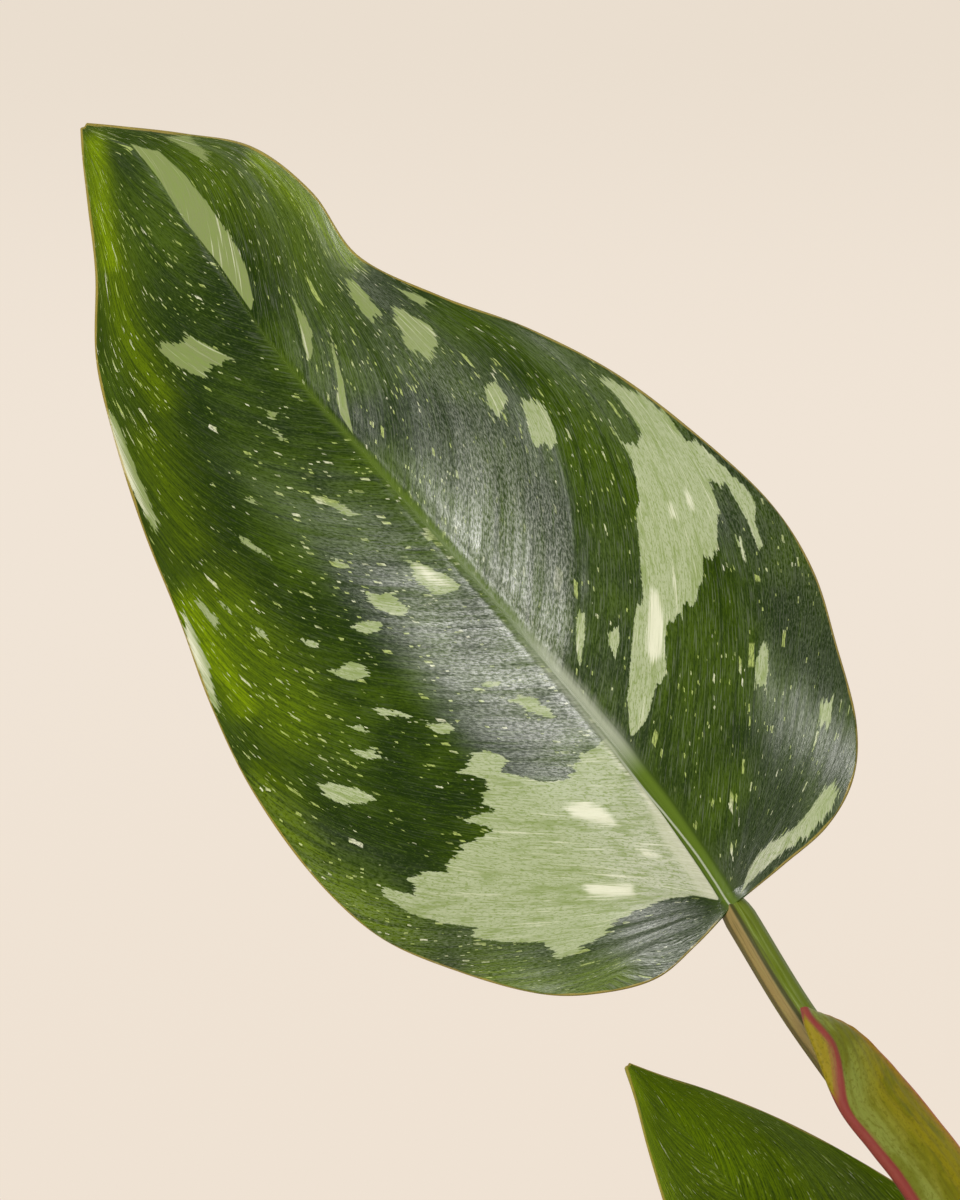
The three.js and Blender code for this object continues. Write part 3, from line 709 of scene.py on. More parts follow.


# The photographed leaf's own markings: pale patches and their cream cores, outlined as places in
# the 960 x 1200 photograph. The material frays their ends along the veins.
leafOnPhoto = {
    "base": (732, 903),
    "tip": (80, 121),
    "pixelsPerMillimetre": 7.2,
    "slopeStep": 0.3,  # an edge's slope along the veins, which tells an end from a side, is read over this
    "slopeFade": 5.0,  # beside the midrib it grows from nothing over this width, less a level
    "slopeLevel": 0.15,
}
palePatches = {
    "lowerLeft": [
        (718, 900), (705, 897), (692, 895), (671, 898), (642, 908), (614, 921), (604, 935), (585, 943),
        (577, 952), (560, 957), (545, 941), (520, 942), (474, 938), (474, 927), (439, 922), (407, 912),
        (386, 897), (385, 888), (420, 896), (408, 880), (426, 872), (443, 870), (455, 857), (461, 843),
        (472, 841), (496, 828), (468, 821), (468, 815), (496, 809), (478, 803), (488, 788), (479, 776),
        (462, 772), (471, 757), (483, 749), (508, 757), (503, 772), (540, 781), (567, 780), (573, 763),
        (587, 752), (606, 738), (650, 786), (690, 838), (722, 884),
    ],
    "upperRight": [
        (594, 373), (612, 380), (643, 395), (666, 412), (687, 442), (695, 439), (725, 467), (750, 492),
        (757, 508), (754, 519), (763, 546), (760, 552), (746, 517), (727, 486), (717, 483), (706, 473),
        (719, 509), (719, 527), (713, 560), (702, 557), (702, 582), (692, 606), (683, 599), (681, 614),
        (667, 622), (664, 640), (667, 676), (657, 680), (648, 716), (631, 738), (627, 700), (634, 616),
        (642, 595), (637, 515), (638, 490), (632, 459), (609, 423), (626, 446), (638, 445), (642, 431),
        (621, 400),
    ],
    "tipStreak": [
        (127, 139), (144, 145), (156, 147), (184, 173), (210, 207), (227, 231), (239, 252), (246, 270),
        (252, 298), (250, 309), (214, 257), (180, 214), (157, 176), (143, 158),
    ],
    "topEdge": [(162, 133), (187, 132), (195, 141), (206, 150), (203, 158), (187, 147)],
    "leftUpper": [
        (154, 346), (166, 342), (179, 343), (184, 332), (206, 344), (229, 357), (221, 366), (210, 363),
        (205, 376), (191, 373), (172, 362),
    ],
    "rightTop": [(344, 275), (355, 280), (367, 294), (379, 309), (374, 323), (363, 313), (350, 294)],
    "rightThin": [(294, 299), (304, 313), (313, 333), (311, 355), (308, 361), (302, 343)],
    "rightLine": [
        (329, 330), (336, 356), (343, 378), (346, 402), (353, 434), (340, 414), (336, 398), (337, 380),
    ],
    "rightHigh": [
        (391, 306), (402, 307), (415, 317), (430, 325), (437, 337), (434, 350), (428, 357), (408, 346),
        (398, 325),
    ],
    "rightRim": [(398, 287), (412, 291), (431, 301), (425, 305), (410, 298)],
    "rightMid": [(483, 385), (495, 380), (508, 398), (503, 408), (499, 420), (490, 408)],
    "rightMidBroad": [
        (521, 402), (530, 398), (545, 406), (557, 436), (552, 446), (545, 441), (538, 451), (531, 436),
    ],
    "rightStrip": [(577, 612), (585, 611), (585, 635), (580, 668), (576, 650)],
    "rightDot": [(608, 627), (614, 629), (619, 640), (615, 651), (608, 645)],
    "lowRightDash": [(762, 640), (768, 645), (768, 665), (765, 690), (756, 684), (755, 668)],
    "lowRightDot": [(820, 702), (831, 698), (831, 722), (818, 727)],
    "rightDash": [(738, 541), (741, 541), (746, 558), (743, 560)],
    "baseRightRim": [
        (834, 781), (837, 793), (828, 812), (809, 833), (790, 846), (767, 865), (748, 883), (740, 895),
        (749, 868), (761, 849), (780, 836), (795, 826), (810, 808), (824, 787),
    ],
    "leftRimUpper": [
        (104, 405), (115, 418), (128, 450), (143, 487), (158, 521), (156, 533), (145, 516), (122, 468),
        (102, 420),
    ],
    "leftRimLower": [(180, 604), (192, 628), (206, 660), (213, 688), (225, 722), (208, 700), (188, 644)],
    "leftDashA": [(192, 598), (200, 600), (210, 612), (221, 621), (214, 627), (205, 616)],
    "leftDashB": [(214, 598), (221, 600), (237, 617), (228, 612)],
    "leftDashC": [(250, 624), (262, 630), (269, 636), (262, 637)],
    "leftDashD": [(296, 636), (312, 640), (324, 645), (310, 646)],
    "leftDashE": [(345, 626), (360, 622), (381, 621), (382, 630), (365, 634)],
    "leftDashF": [(327, 556), (338, 559), (351, 566), (342, 569)],
    "leftDashG": [(264, 424), (275, 428), (288, 438), (281, 440)],
    "leftDashH": [(260, 407), (270, 410), (282, 413), (271, 417)],
    "leftDashI": [(329, 501), (341, 505), (354, 513), (350, 516), (336, 508)],
    "leftDashJ": [(243, 495), (252, 497), (260, 502), (250, 503)],
    "leftLine": [(231, 530), (247, 539), (274, 561), (257, 552), (244, 543)],
    "leftMid": [(362, 592), (382, 594), (390, 593), (398, 597), (405, 608), (400, 616), (381, 610)],
    "leftMidLow": [
        (332, 671), (343, 670), (350, 663), (358, 663), (366, 670), (362, 676), (350, 680), (338, 676),
    ],
    "leftLowA": [(377, 706), (388, 709), (400, 711), (405, 716), (384, 714)],
    "leftLowB": [(352, 723), (362, 725), (370, 731), (357, 730)],
    "leftLowSquare": [(429, 723), (452, 723), (452, 734), (441, 734), (429, 730)],
    "leftLowC": [(356, 749), (372, 748), (378, 752), (392, 760), (374, 756), (369, 760), (357, 754)],
    "leftLowBroad": [
        (318, 782), (330, 783), (357, 788), (377, 797), (368, 803), (352, 801), (348, 805), (335, 801),
        (323, 795),
    ],
    "midLeft": [(409, 561), (422, 563), (447, 576), (462, 585), (455, 590), (439, 594), (418, 582)],
    "midLow": [(510, 702), (520, 696), (535, 698), (545, 705), (558, 717), (550, 720), (535, 714)],
    "midDash": [(478, 684), (490, 681), (502, 681), (500, 686), (485, 688)],
}
creamPatches = {
    "rightCore": [(651, 588), (658, 592), (664, 620), (662, 655), (652, 662), (646, 650)],
    "rightFleckA": [(669, 502), (673, 506), (676, 517), (670, 516)],
    "rightFleckB": [(685, 490), (690, 496), (693, 508), (688, 504)],
    "lowerLeftCore": [(565, 806), (585, 802), (600, 806), (612, 816), (617, 824), (590, 822), (573, 816)],
    "lowerLeftLow": [(583, 884), (598, 882), (632, 884), (634, 895), (612, 896), (590, 895)],
    "lowerLeftDot": [(636, 848), (648, 849), (661, 857), (645, 856)],
    "ribStrip": [
        (604, 745), (646, 796), (672, 832), (690, 862), (714, 898), (724, 896), (706, 868), (666, 813),
    ],
    "leftRim": [(100, 400), (111, 424), (132, 476), (146, 514), (128, 486), (104, 430)],
    "leftRimLow": [(180, 604), (190, 632), (204, 668), (212, 692), (196, 664), (184, 636)],
    "midLeftCore": [(413, 563), (420, 564), (440, 577), (448, 584), (428, 580)],
}
# Where the green is fresher and yellower, partly painted light showing through the thin blade: reach in pixels,
# strength, and a line through the photograph
freshLitLines = {
    "tipLeft": (12, 1.0, [(90, 140), (98, 200), (108, 262)]),
    "tipLeftLow": (20, 0.4, [(108, 262), (125, 330), (160, 400)]),
    "tipRight": (15, 0.7, [(258, 156), (310, 205), (350, 256)]),
    "tipRightWide": (46, 0.15, [(210, 160), (300, 240)]),
    "left": (30, 0.3, [(150, 440), (185, 540)]),
    "leftLow": (16, 0.8, [(186, 606), (215, 655), (245, 705)]),
    "leftLowWide": (40, 0.35, [(215, 600), (290, 720)]),
    "bottomLeft": (24, 0.4, [(262, 780), (320, 880), (400, 940)]),
    "bottom": (20, 0.4, [(480, 975), (570, 988), (620, 975)]),
}


# A place in the photograph as x, y on the photographed leaf's flat blade
def onLeaf(places):
    base, tip = np.array(leafOnPhoto["base"], float), np.array(leafOnPhoto["tip"], float)
    along = unit(tip - base)
    away = (np.asarray(places, float) - base) / leafOnPhoto["pixelsPerMillimetre"]
    return np.stack((away @ (-along[1], along[0]), away @ along), -1)


# Depth inside the pale patches, how steeply it changes along the veins, depth inside the cream, and
# how fresh the green is, which is partly painted light showing through the thin blade
def mainMarkings(x, y):
    p, leaf = named(leafOnPhoto), leaves["leaf_1"]
    pale, cream = ([onLeaf(line) for line in lines.values()] for lines in (palePatches, creamPatches))
    depth = depthIn(x, y, pale)
    aheadX, aheadY = np.moveaxis(veinDirection(leaf, x, y) * p.slopeStep, -1, 0)
    slope = np.clip(np.abs(depthIn(x + aheadX, y + aheadY, pale) - depth) / p.slopeStep, 0, 1)
    slope *= np.clip(np.abs(x - midribAt(leaf, y)) / p.slopeFade - p.slopeLevel, 0, 1)
    fresh = np.zeros_like(x)
    for reach, strength, line in freshLitLines.values():
        distance = distanceToLine(x, y, onLeaf(line), False) * p.pixelsPerMillimetre
        fresh = np.maximum(fresh, strength * np.exp(-((distance / reach) ** 2)))
    return depth, slope, depthIn(x, y, cream), fresh


# Patches of any other leaf: strips side by side between its veins, each with ends of its own, drawn
# with a seed
patching = {
    "seedStep": 300,  # from the seed of a leaf's ripples to that of its patches
    "count": 10,
    "leftShare": 0.5,
    "sizePower": 1.7,
    "highest": 0.62,  # share of the leaf's length
    "lowered": 4.0,
    "furthestStart": 24.0,  # from the midrib
    "startPower": 1.6,
    "startBack": 2.0,
    "shortest": 3.0,
    "longest": 28.0,
    "reachLeast": 0.5,
    "strips": 8,
    "stripWidth": 1.6,
    "stripShares": (0.5, 0.7),  # of that width: the least, and how much a draw adds at most
    "stripSpacing": 1.4,
    "wander": (0.5, 0.22),  # how far a strip sways, and its turn for each millimetre along the veins
    "nearSpread": 0.35,
    "farLeast": 0.35,
    "narrowing": (1.25, 0.7, 0.3),  # width at the near end, what it loses on the way out, and the least
    "creamAbove": 0.75,
    "creamInset": 0.35,
    "outside": -6.0,
    "slope": 0.8,
    "tipFresh": (0.35, 0.25),  # strength, and reach as a share of the length
}


def drawnMarkings(leaf, x, y, along, across):
    p = named(patching)
    draw, length = draws(leaf.get("patchSeed", leaf["seed"] + p.seedStep)), leaf["length"]
    side = np.where(x < 0, -1, 1)
    depth, cream = np.full(x.shape, p.outside), np.full(x.shape, p.outside)
    for i in range(p.count):
        way = 1 if next(draw) > p.leftShare else -1
        size = next(draw) ** p.sizePower
        middle = length * (p.highest * next(draw)) - p.lowered
        start = p.furthestStart * next(draw) ** p.startPower - p.startBack
        reach = p.shortest + (p.longest - p.shortest) * size * (p.reachLeast + (1 - p.reachLeast) * next(draw))
        strips = 1 + round(p.strips * size)
        for j in range(strips):
            half = p.stripWidth * (p.stripShares[0] + p.stripShares[1] * next(draw))
            at = middle + (j - (strips - 1) / 2) * p.stripWidth * p.stripSpacing
            at = at + p.wander[0] * np.sin(p.wander[1] * along + i)
            near = start + p.nearSpread * reach * next(draw) ** 2 * (start > 1)
            far = start + reach * (p.farLeast + (1 - p.farLeast) * next(draw))
            widest, loss, least = p.narrowing
            narrowed = half * np.clip(widest - loss * (along - near) / (far - near), least, 1.0)
            inside = np.minimum(narrowed - np.abs(across - at), np.minimum(along - near, far - along))
            depth = np.maximum(depth, np.where(side == way, inside, p.outside))
            if next(draw) > p.creamAbove:
                cream = np.maximum(cream, np.where(side == way, inside - p.creamInset * half, p.outside))
    strength, reach = p.tipFresh
    fresh = strength * np.exp(-(((y - length) / (reach * length)) ** 2))
    return depth, np.full(x.shape, p.slope), cream, fresh


# Low relief of the upper face: swells between the main veins, wrinkles and fine ribs along them beside
# the midrib, the midrib's ridge in its channel, and a groove along one vein of the photographed leaf.
# Turns are radians for each millimetre.
relief = {
    "swell": 0.02,
    "swellEvery": 9.4,
    "swellLag": 1.3,  # radians between the leaf's two sides
    "swellWarp": (0.9, 0.37),
    "outward": 6.0,  # swells and ribs grow over this width beside the midrib
    "sway": ((0.5, 0.55, 0.31), (0.3, 1.3, -0.7)),  # two waves: reach, and turn along and across the veins
    "wrinkle": 0.012,
    "wrinkleEvery": 1.5,
    "wrinkleReach": 15.0,
    "wrinkleStart": 2.5,
    "patchy": (0.55, 0.45, 0.33, 1.7, 0.23),  # least share, what a wave adds, its turn, and its own bow
    "rib": 0.005,
    "ribEvery": 0.8,
    "ribSway": 0.3,
    "ribTaper": 0.6,
    "tipDepth": 0.25,  # of the channel and the ridge, as shares
    "tipReach": 0.3,
    "channel": 0.4,
    "channelReach": 2.6,
    "ridge": 0.16,
    "ridgeReach": 1.0,
    "groove": 0.12,
    "groovePlace": 38.3,
    "grooveReach": 1.5,
    "grooveSpan": (4.0, 6.0, 30.0, 10.0),  # from the midrib: its start and its rise, its end and its fall
}


def reliefAt(leaf, x, y, along, across, away):
    r, scale = named(relief), sizeOf(leaf)
    side, fromRib = np.where(away < 0, -1, 1), np.abs(away)
    outward = np.clip(fromRib / r.outward, 0, 1)
    inner = np.clip(1 - fromRib / leaf["halfWidth"], 0, 1) ** 0.5
    phase = 2 * np.pi * across / (r.swellEvery * scale) + r.swellLag * side
    warp, warpTurn = r.swellWarp
    height = r.swell * np.sin(phase + warp * np.sin(warpTurn * phase)) * outward * inner
    sway = sum(lift * np.sin(along * turn + across * shift) for lift, turn, shift in r.sway)
    fade = np.exp(-((away / (r.wrinkleReach * scale)) ** 2)) * np.clip(fromRib / r.wrinkleStart, 0, 1)
    least, added, turn, bow, bowTurn = r.patchy
    fade *= least + added * np.sin(along * turn + bow * np.sin(across * bowTurn))
    height += r.wrinkle * np.sin(2 * np.pi * (across + sway) / r.wrinkleEvery) * fade
    height += r.rib * np.sin(2 * np.pi * (across + r.ribSway * sway) / r.ribEvery) * outward
    taper = np.clip(1 - y / leaf["length"], 0, 1) ** r.ribTaper
    for lift, reach in ((-r.channel, r.channelReach), (r.ridge, r.ridgeReach)):
        reach *= scale * (r.tipReach + (1 - r.tipReach) * taper)
        height += lift * (r.tipDepth + (1 - r.tipDepth) * taper) * np.exp(-((away / reach) ** 2))
    if isMain(leaf):
        start, rise, end, fall = r.grooveSpan
        reachOut = np.clip((away - start) / rise, 0, 1) * np.clip((end - away) / fall, 0, 1)
        height -= r.groove * np.exp(-(((across - r.groovePlace) / r.grooveReach) ** 2)) * reachOut
    return height


def gridFaces(rows, columns, start=0, flip=False):
    corner = (np.arange(rows - 1)[:, None] * columns + np.arange(columns - 1)[None]).ravel() + start
    faces = np.stack((corner, corner + 1, corner + columns + 1, corner + columns), -1)
    return (faces[:, ::-1] if flip else faces).tolist()


def rimOf(rows, columns):
    at = np.arange(rows * columns).reshape(rows, columns)
    return np.concatenate((at[0, :-1], at[:-1, -1], at[-1, :0:-1], at[:0:-1, 0]))


# Rows and columns of the upper face, and of the outline only one point in so many for distances
fineGrid = {
    "main": dict(rows=341, columns=161, outlineStep=4),
    "others": dict(rows=161, columns=81, outlineStep=2),
    "crowding": 0.25,  # columns lie closer beside the midrib
    "rowPower": 0.85,
}


def bladeMesh(name, leaf):
    main, b = isMain(leaf), named(blade)
    rows, columns, outlineStep = fineGrid["main" if main else "others"].values()
    ways, crowding = np.linspace(-1, 1, columns), fineGrid["crowding"]
    outs = np.sign(ways) * ((1 - crowding) * np.abs(ways) + crowding * ways**2)
    shares = np.linspace(0, 1, rows) ** fineGrid["rowPower"]
    flat = flatGrid(leaf, shares, outs)
    x, y = flat[..., 0], flat[..., 1]
    along, across, side, away = veinPlaces(leaf, x, y)
    rim = rimOf(rows, columns)
    outline = flat.reshape(-1, 2)[rim]
    margin = distanceToLine(x, y, outline[::outlineStep], True)
    raised = reliefAt(leaf, x, y, along, across, away) * np.clip(margin / b.reliefReach, 0, 1)
    upper = onBlade(leaf, x, y, raised).reshape(-1, 3)
    depth = b.marginThickness + (b.thickness - b.marginThickness) * np.clip(margin / b.marginReach, 0, 1)
    ribDepth = b.ribDepthBase + (b.ribDepthTip - b.ribDepthBase) * shares[:, None] ** b.ribTaper
    depth += ribDepth * np.exp(-((away / b.ribReach) ** 2))
    lower = (onBlade(leaf, x, y) - normalsAt(leaf, x, y) * depth[..., None])[::2, ::2]
    markings = mainMarkings(x, y) if main else drawnMarkings(leaf, x, y, along, across)
    patchDepth, slope, cream, fresh = markings
    # yellower green along the left margin and over the whole blade, partly painted light showing through it
    freshMargin = leaf.get("freshMargin", 0) * np.exp(-((margin / b.freshReach) ** 2)) * (x < 0)
    fresh = np.maximum(np.maximum(fresh, leaf.get("freshBase", 0)), freshMargin)

    # a rounded rim runs between the two faces, and the lower one has half as many rows and columns
    rimNormals = normalsAt(leaf, *outline.T)
    outward = unit(np.cross(np.roll(upper[rim], -1, 0) - np.roll(upper[rim], 1, 0), rimNormals))
    rimMiddle = upper[rim] - rimNormals * b.marginThickness / 2 + outward * b.rimBulge
    lowRows, lowColumns, count = (rows + 1) // 2, (columns + 1) // 2, len(rim)
    middleStart, lowerStart = rows * columns, rows * columns + count
    lowRim = rimOf(lowRows, lowColumns) + lowerStart
    faces = gridFaces(rows, columns) + gridFaces(lowRows, lowColumns, lowerStart, True)
    for i in range(count):
        j = (i + 1) % count
        faces.append((rim[i], middleStart + i, middleStart + j, rim[j]))
    for i, (here, after) in enumerate(zip(lowRim, np.roll(lowRim, -1))):
        first, second, third = (middleStart + (2 * i + k) % count for k in range(3))
        faces += [(first, here, second), (second, here, after), (second, after, third)]
    points = np.concatenate((upper, rimMiddle, lower.reshape(-1, 3)))

    def everywhere(*values):
        values = [np.broadcast_to(v, x.shape) for v in values]
        return np.stack([np.concatenate((v.ravel(), v.ravel()[rim], v[::2, ::2].ravel())) for v in values], -1)

    attributes = {
        "leafPlace": everywhere(away, y, margin),
        "veinPlace": everywhere(along, across, side),
        "patchPlace": everywhere(patchDepth, slope, cream),
        "tonePlace": everywhere(fresh, leaf["length"], leaf.get("gloss", b.gloss)),
        "underside": np.repeat((0.0, 0.5, 1.0), (rows * columns, count, lowRows * lowColumns)),
    }
    return smoothMesh(name, points, faces, attributes)


bladeColours = {
    "deep": colour(23, 39, 2),
    "middle": colour(53, 72, 5),
    "lightLine": colour(66, 88, 14),
    "darkLine": colour(20, 36, 3),
    "fresh": colour(110, 134, 0),
    "sageTip": colour(111, 122, 76),
    "sage": colour(149, 158, 124),
    "sageBase": colour(162, 166, 144),
    "sageLine": colour(109, 126, 66),
    "cream": colour(208, 208, 187),
    "fleck": colour(150, 164, 90),
    "rib": colour(76, 96, 26),
    # partly painted sheen: the midrib's pale grey stretch, also the colour of its pale line
    "ribPaleAndSheen": colour(160, 166, 146),
    # painted sheen: the pale grey blended in where the blade shines
    "paintedSheen": colour(150, 154, 142),
    "ribStrip": colour(183, 184, 162),
    "rimLine": colour(145, 127, 60),
    "under": colour(84, 104, 48),
    "underPale": colour(138, 154, 92),
}
# Noise drawn out along the veins: its scale across them and along them, its detail, and a shift that
# makes it differ from the others
bladeStreaks = {
    "light": (1.8, 0.12, 3, 0.0),
    "dark": (0.6, 0.04, 2, 7.0),
    "fresh": (1.1, 0.07, 3, 71.0),
    "threads": (3.4, 0.3, 2, 15.0),
    "teeth": (0.8, 0.05, 2, 21.0),
    "fineTeeth": (3.2, 0.12, 2, 33.0),
    "sheen": (0.25, 0.06, 3, 83.0),
    "coat": (0.8, 0.05, 3, 61.0),
    "cream": (1.3, 0.09, 3, 53.0),
    "rib": (0.0, 0.9, 2, 5.0),
    "ribLine": (0.0, 0.25, 1, 19.0),
    "rim": (0.12, 0.05, 1, 91.0),
}
# How glossy the blade is, by its place across the veins, from the fan of veins at the base towards the
# tip: place in millimetres, and a share
glossRight = [(-40, 0.28), (-12, 0.22), (2, 0.04), (20, 0.04), (25, 0.12), (34, 0.12), (37.6, 0.08), (41.4, 0.95),
              (56, 0.85), (72, 0.1), (100, 0.0)]
glossLeft = [(-40, 0.42), (-14, 0.38), (-4, 0.08), (8, 0.12), (20, 0.42), (34, 0.72), (48, 0.8), (62, 0.4),
             (78, 0.05)]
# Flecks in four sizes: across and along the veins in millimetres, then a fleck's size and how many
# cells hold one
flecking = ((0.6, 1.1, 0.26, 0.34), (1.1, 2.6, 0.24, 0.34), (2.3, 6.0, 0.19, 0.26), (4.8, 11.0, 0.17, 0.17))


# Flecks that lie along the veins: one in each cell of a stretched net, where the draw allows
def makeFleckGroup(wobble=1.2, wobbleScale=0.35, sideShift=37.0, leastSize=0.35, softEdge=0.02):
    n, given, out = startTree(
        "ShaderNodeTree", "veinFlecks",
        [("Place", "Vector"), ("Across", "Float", 1.0), ("Along", "Float", 3.0), ("Size", "Float", 0.3),
         ("Share", "Float", 0.3)],
        [("Mask", "Float")],
    )
    along, across, side = n.split(given["Place"])
    sway = n.times(n.minus(n.noise(given["Place"], wobbleScale), 0.5), wobble)
    crosswise = n.over(n.plus(across, sway), given["Across"])
    net = n.join(n.over(along, given["Along"]), crosswise, n.times(side, sideShift))
    cells = n.add("ShaderNodeTexVoronoi", {"Vector": net, "Scale": 1.0, "Randomness": 1.0},
                  distance="CHEBYCHEV", voronoi_dimensions="3D")
    chance, size, _ = n.split(cells.outputs["Color"])
    reach = n.times(given["Size"], n.remap(size, 0, 1, leastSize, 1.0, False))
    inside = n.remap(n.minus(reach, cells.outputs["Distance"]), -softEdge, softEdge)
    n.feed(out["Mask"], n.times(inside, n.calc("LESS_THAN", chance, given["Share"])))
    return n.tree


# Fine skin, as a height in millimetres: pebbles, short ribs and thin creases along the veins
def makeSkinGroup(sideShift=19.0, creaseWidth=0.035):
    n, given, out = startTree(
        "ShaderNodeTree", "veinedSkin",
        [("Place", "Vector"), ("Pebble", "Float", 0.02), ("Rib", "Float", 0.012), ("Crease", "Float", 0.05)],
        [("Height", "Float")],
    )
    along, across, side = n.split(given["Place"])

    def grain(lengthwise, shift, scale, roughness):
        vector = n.join(n.times(along, lengthwise), across, n.plus(n.times(side, sideShift), shift))
        return n.noise(vector, scale, 2, roughness)

    pebble, rib = grain(0.55, 0.0, 2.3, 0.6), grain(0.16, 3.0, 1.5, 0.6)
    crease = n.remap(n.size(n.minus(grain(0.2, 9.0, 0.75, 0.5), 0.5)), 0.0, creaseWidth)
    parts = ((pebble, "Pebble"), (rib, "Rib"), (crease, "Crease"))
    n.feed(out["Height"], n.plus(*(n.times(part, given[name]) for part, name in parts)))
    return n.tree


fleckGroup = makeFleckGroup()
skinGroup = makeSkinGroup()
# The rest of the blade's look. Three numbers are where a tint starts and is full, and its share. Two are
# where a value goes from 0 to 1, and four name what it becomes too. Lengths are millimetres, and places
# from the base to the tip are shares of the blade's length.
bladeLook = {
    "sideShift": 13.0,
    "speck": (0.5, 3.0, 2, 0.7),  # scale along the veins, scale, detail and roughness
    "mottle": (0.3, 0.5, 4, 0.6),
    # green
    "cloudScale": 0.05,
    "cloud": (0.38, 0.66, 1.0),
    "lightStreaks": (0.5, 0.75, 0.4),
    "darkStreaks": (0.5, 0.32, 0.6),
    "freshStreaks": (0.36, 0.6, 0.4, 1.1),
    "darkThreads": (0.48, 0.36, 0.55),
    "darkSpecks": (0.48, 0.34, 0.6),
    "lightSpecks": (0.54, 0.7, 0.5),
    # sheen
    "sheenWander": 9.0,
    "sheenAtBase": (4.0, -4.0),
    "sheenRight": (24.0, 10.0),
    "sheenLeft": (-19.0, -4.0),
    "sheenMottle": (0.3, 0.55, 0.55, 1.0),
    "sheenLeftOfRib": (-1.5, -6.0, 0.75, 1.0),
    "sheenByMargin": (11.0, 3.0),
    "sheenByMarginUpTo": (34.0, 18.0, 0.0, 0.3),
    "sheenOnPale": (0.0, 1.0, 1.0, 0.4),
    "coatSpecks": (0.36, 0.6, 0.4, 1.0),
    "coatStreaks": (0.36, 0.52, 0.45, 1.0),
    # flecks
    "spreadScale": 0.055,
    "spread": (0.36, 0.6, 0.3, 1.0),
    "rightBehind": 60.0,
    "spreadAtBase": (-40.0, -10.0, 0.55, 1.0),
    "fleckPaleScale": 0.3,
    "fleckPale": (0.45, 0.72, 0.8),
    "fleckBySpeck": (0.35, 0.6, 0.3, 0.9),
    "fleckBySheen": (0.2, 0.9, 1.0, 0.25),
    "fleckByShine": (0.1, 0.4, 0.55, 1.0),
    # pale patches
    "teeth": 4.6,
    "fineTeeth": 2.2,
    "fringeNoise": (1.6, 3, 0.6),
    "fringe": (2.0, 6.0, 0.0, 0.7),
    "patchEdge": (-0.07, 0.07),
    "sageSpan": (0.75, 0.35, 1.0),
    "sageBaseSpan": (0.22, 0.05),
    "sageBaseReach": (17.0, 8.0),
    "sageMottle": (0.5, 0.34, 0.6),
    "sageSpecks": (0.5, 0.36, 0.8),
    "sageThreads": (0.48, 0.36, 0.65),
    "sageCream": (0.58, 0.76, 0.6),
    "creamTeeth": 2.4,
    "creamCore": (-0.5, 0.6, 0.75),
    # painted sheen: a pale colour where the blade shines, and pale fibre streaks
    "bloomSpecks": (0.42, 0.62, 0.0, 0.4),
    "fibres": (0.52, 0.66, 0.0, 0.13),
    "fibresOffFresh": (0.0, 0.4, 1.0, 0.0),
    "fibresLeft": (-6.0, 4.0, 0.3, 1.0),
    # midrib
    "ribSoft": (0.9, 0.8),
    "ribWidth": (1.5, 2.2, 0.12),  # power of its taper, half width at the base and at the tip
    # the midrib's pale stretch, which is partly painted sheen
    "ribPaleFrom": (0.37, 0.27, 1.0),
    "ribPaleTo": (0.21, 0.15, 1.0),
    "ribSpots": (0.52, 0.36, 0.5),
    "ribEdge": (1.4, 0.1),
    "ribSpan": (0.8, 0.55, 0.1, 0.75),
    "ribFootSpan": (0.3, 0.15),
    "ribFootEdge": (1.5, 1.1),
    # painted shade: the midrib's dark edges at its foot, where its channel is in shade
    "ribDarkEdge": (0.5, 1.2),
    "ribDarkShare": 0.6,
    "ribLineAt": (0.05, 0.15, 0.2, 0.9),
    "ribLineWander": 0.3,
    "ribLineEdge": (0.22, 0.06),
    "ribLineSpan": (0.26, 0.12, 0.0, 0.75),
    # pale strip beside the midrib
    "stripWidth": 2.6,
    "stripMiddle": 1.1,
    "stripTop": (0.2, 0.08),
    "stripFoot": (0.0, 0.03, 0.4, 1.0),
    "stripEdge": (0.0, 1.4),
    "stripShare": 0.6,
    # line round the margin
    "rimWidth": (0.3, 0.7, 0.04, 0.3),
    "rimEdge": (-0.05, 0.1, 0.0, 0.7),
    "rimOffBase": (1.8, 3.5),
    # underside
    "underVeinsEvery": 6.2,
    "underVeinSway": 0.16,
    "underVein": (0.07, 0.0, 0.0, 0.4),
    "underRibWidth": (0.0, 1.0, 2.4, 0.5),
    "underRib": (1.0, 0.3, 0.0, 0.8),
    "underShare": (0.5, 1.0, 0.66),
    # surface
    "creaseFade": (22.0, 8.0),
    "creaseDepth": (1.5, 4.0, 0.0, 0.02),
}


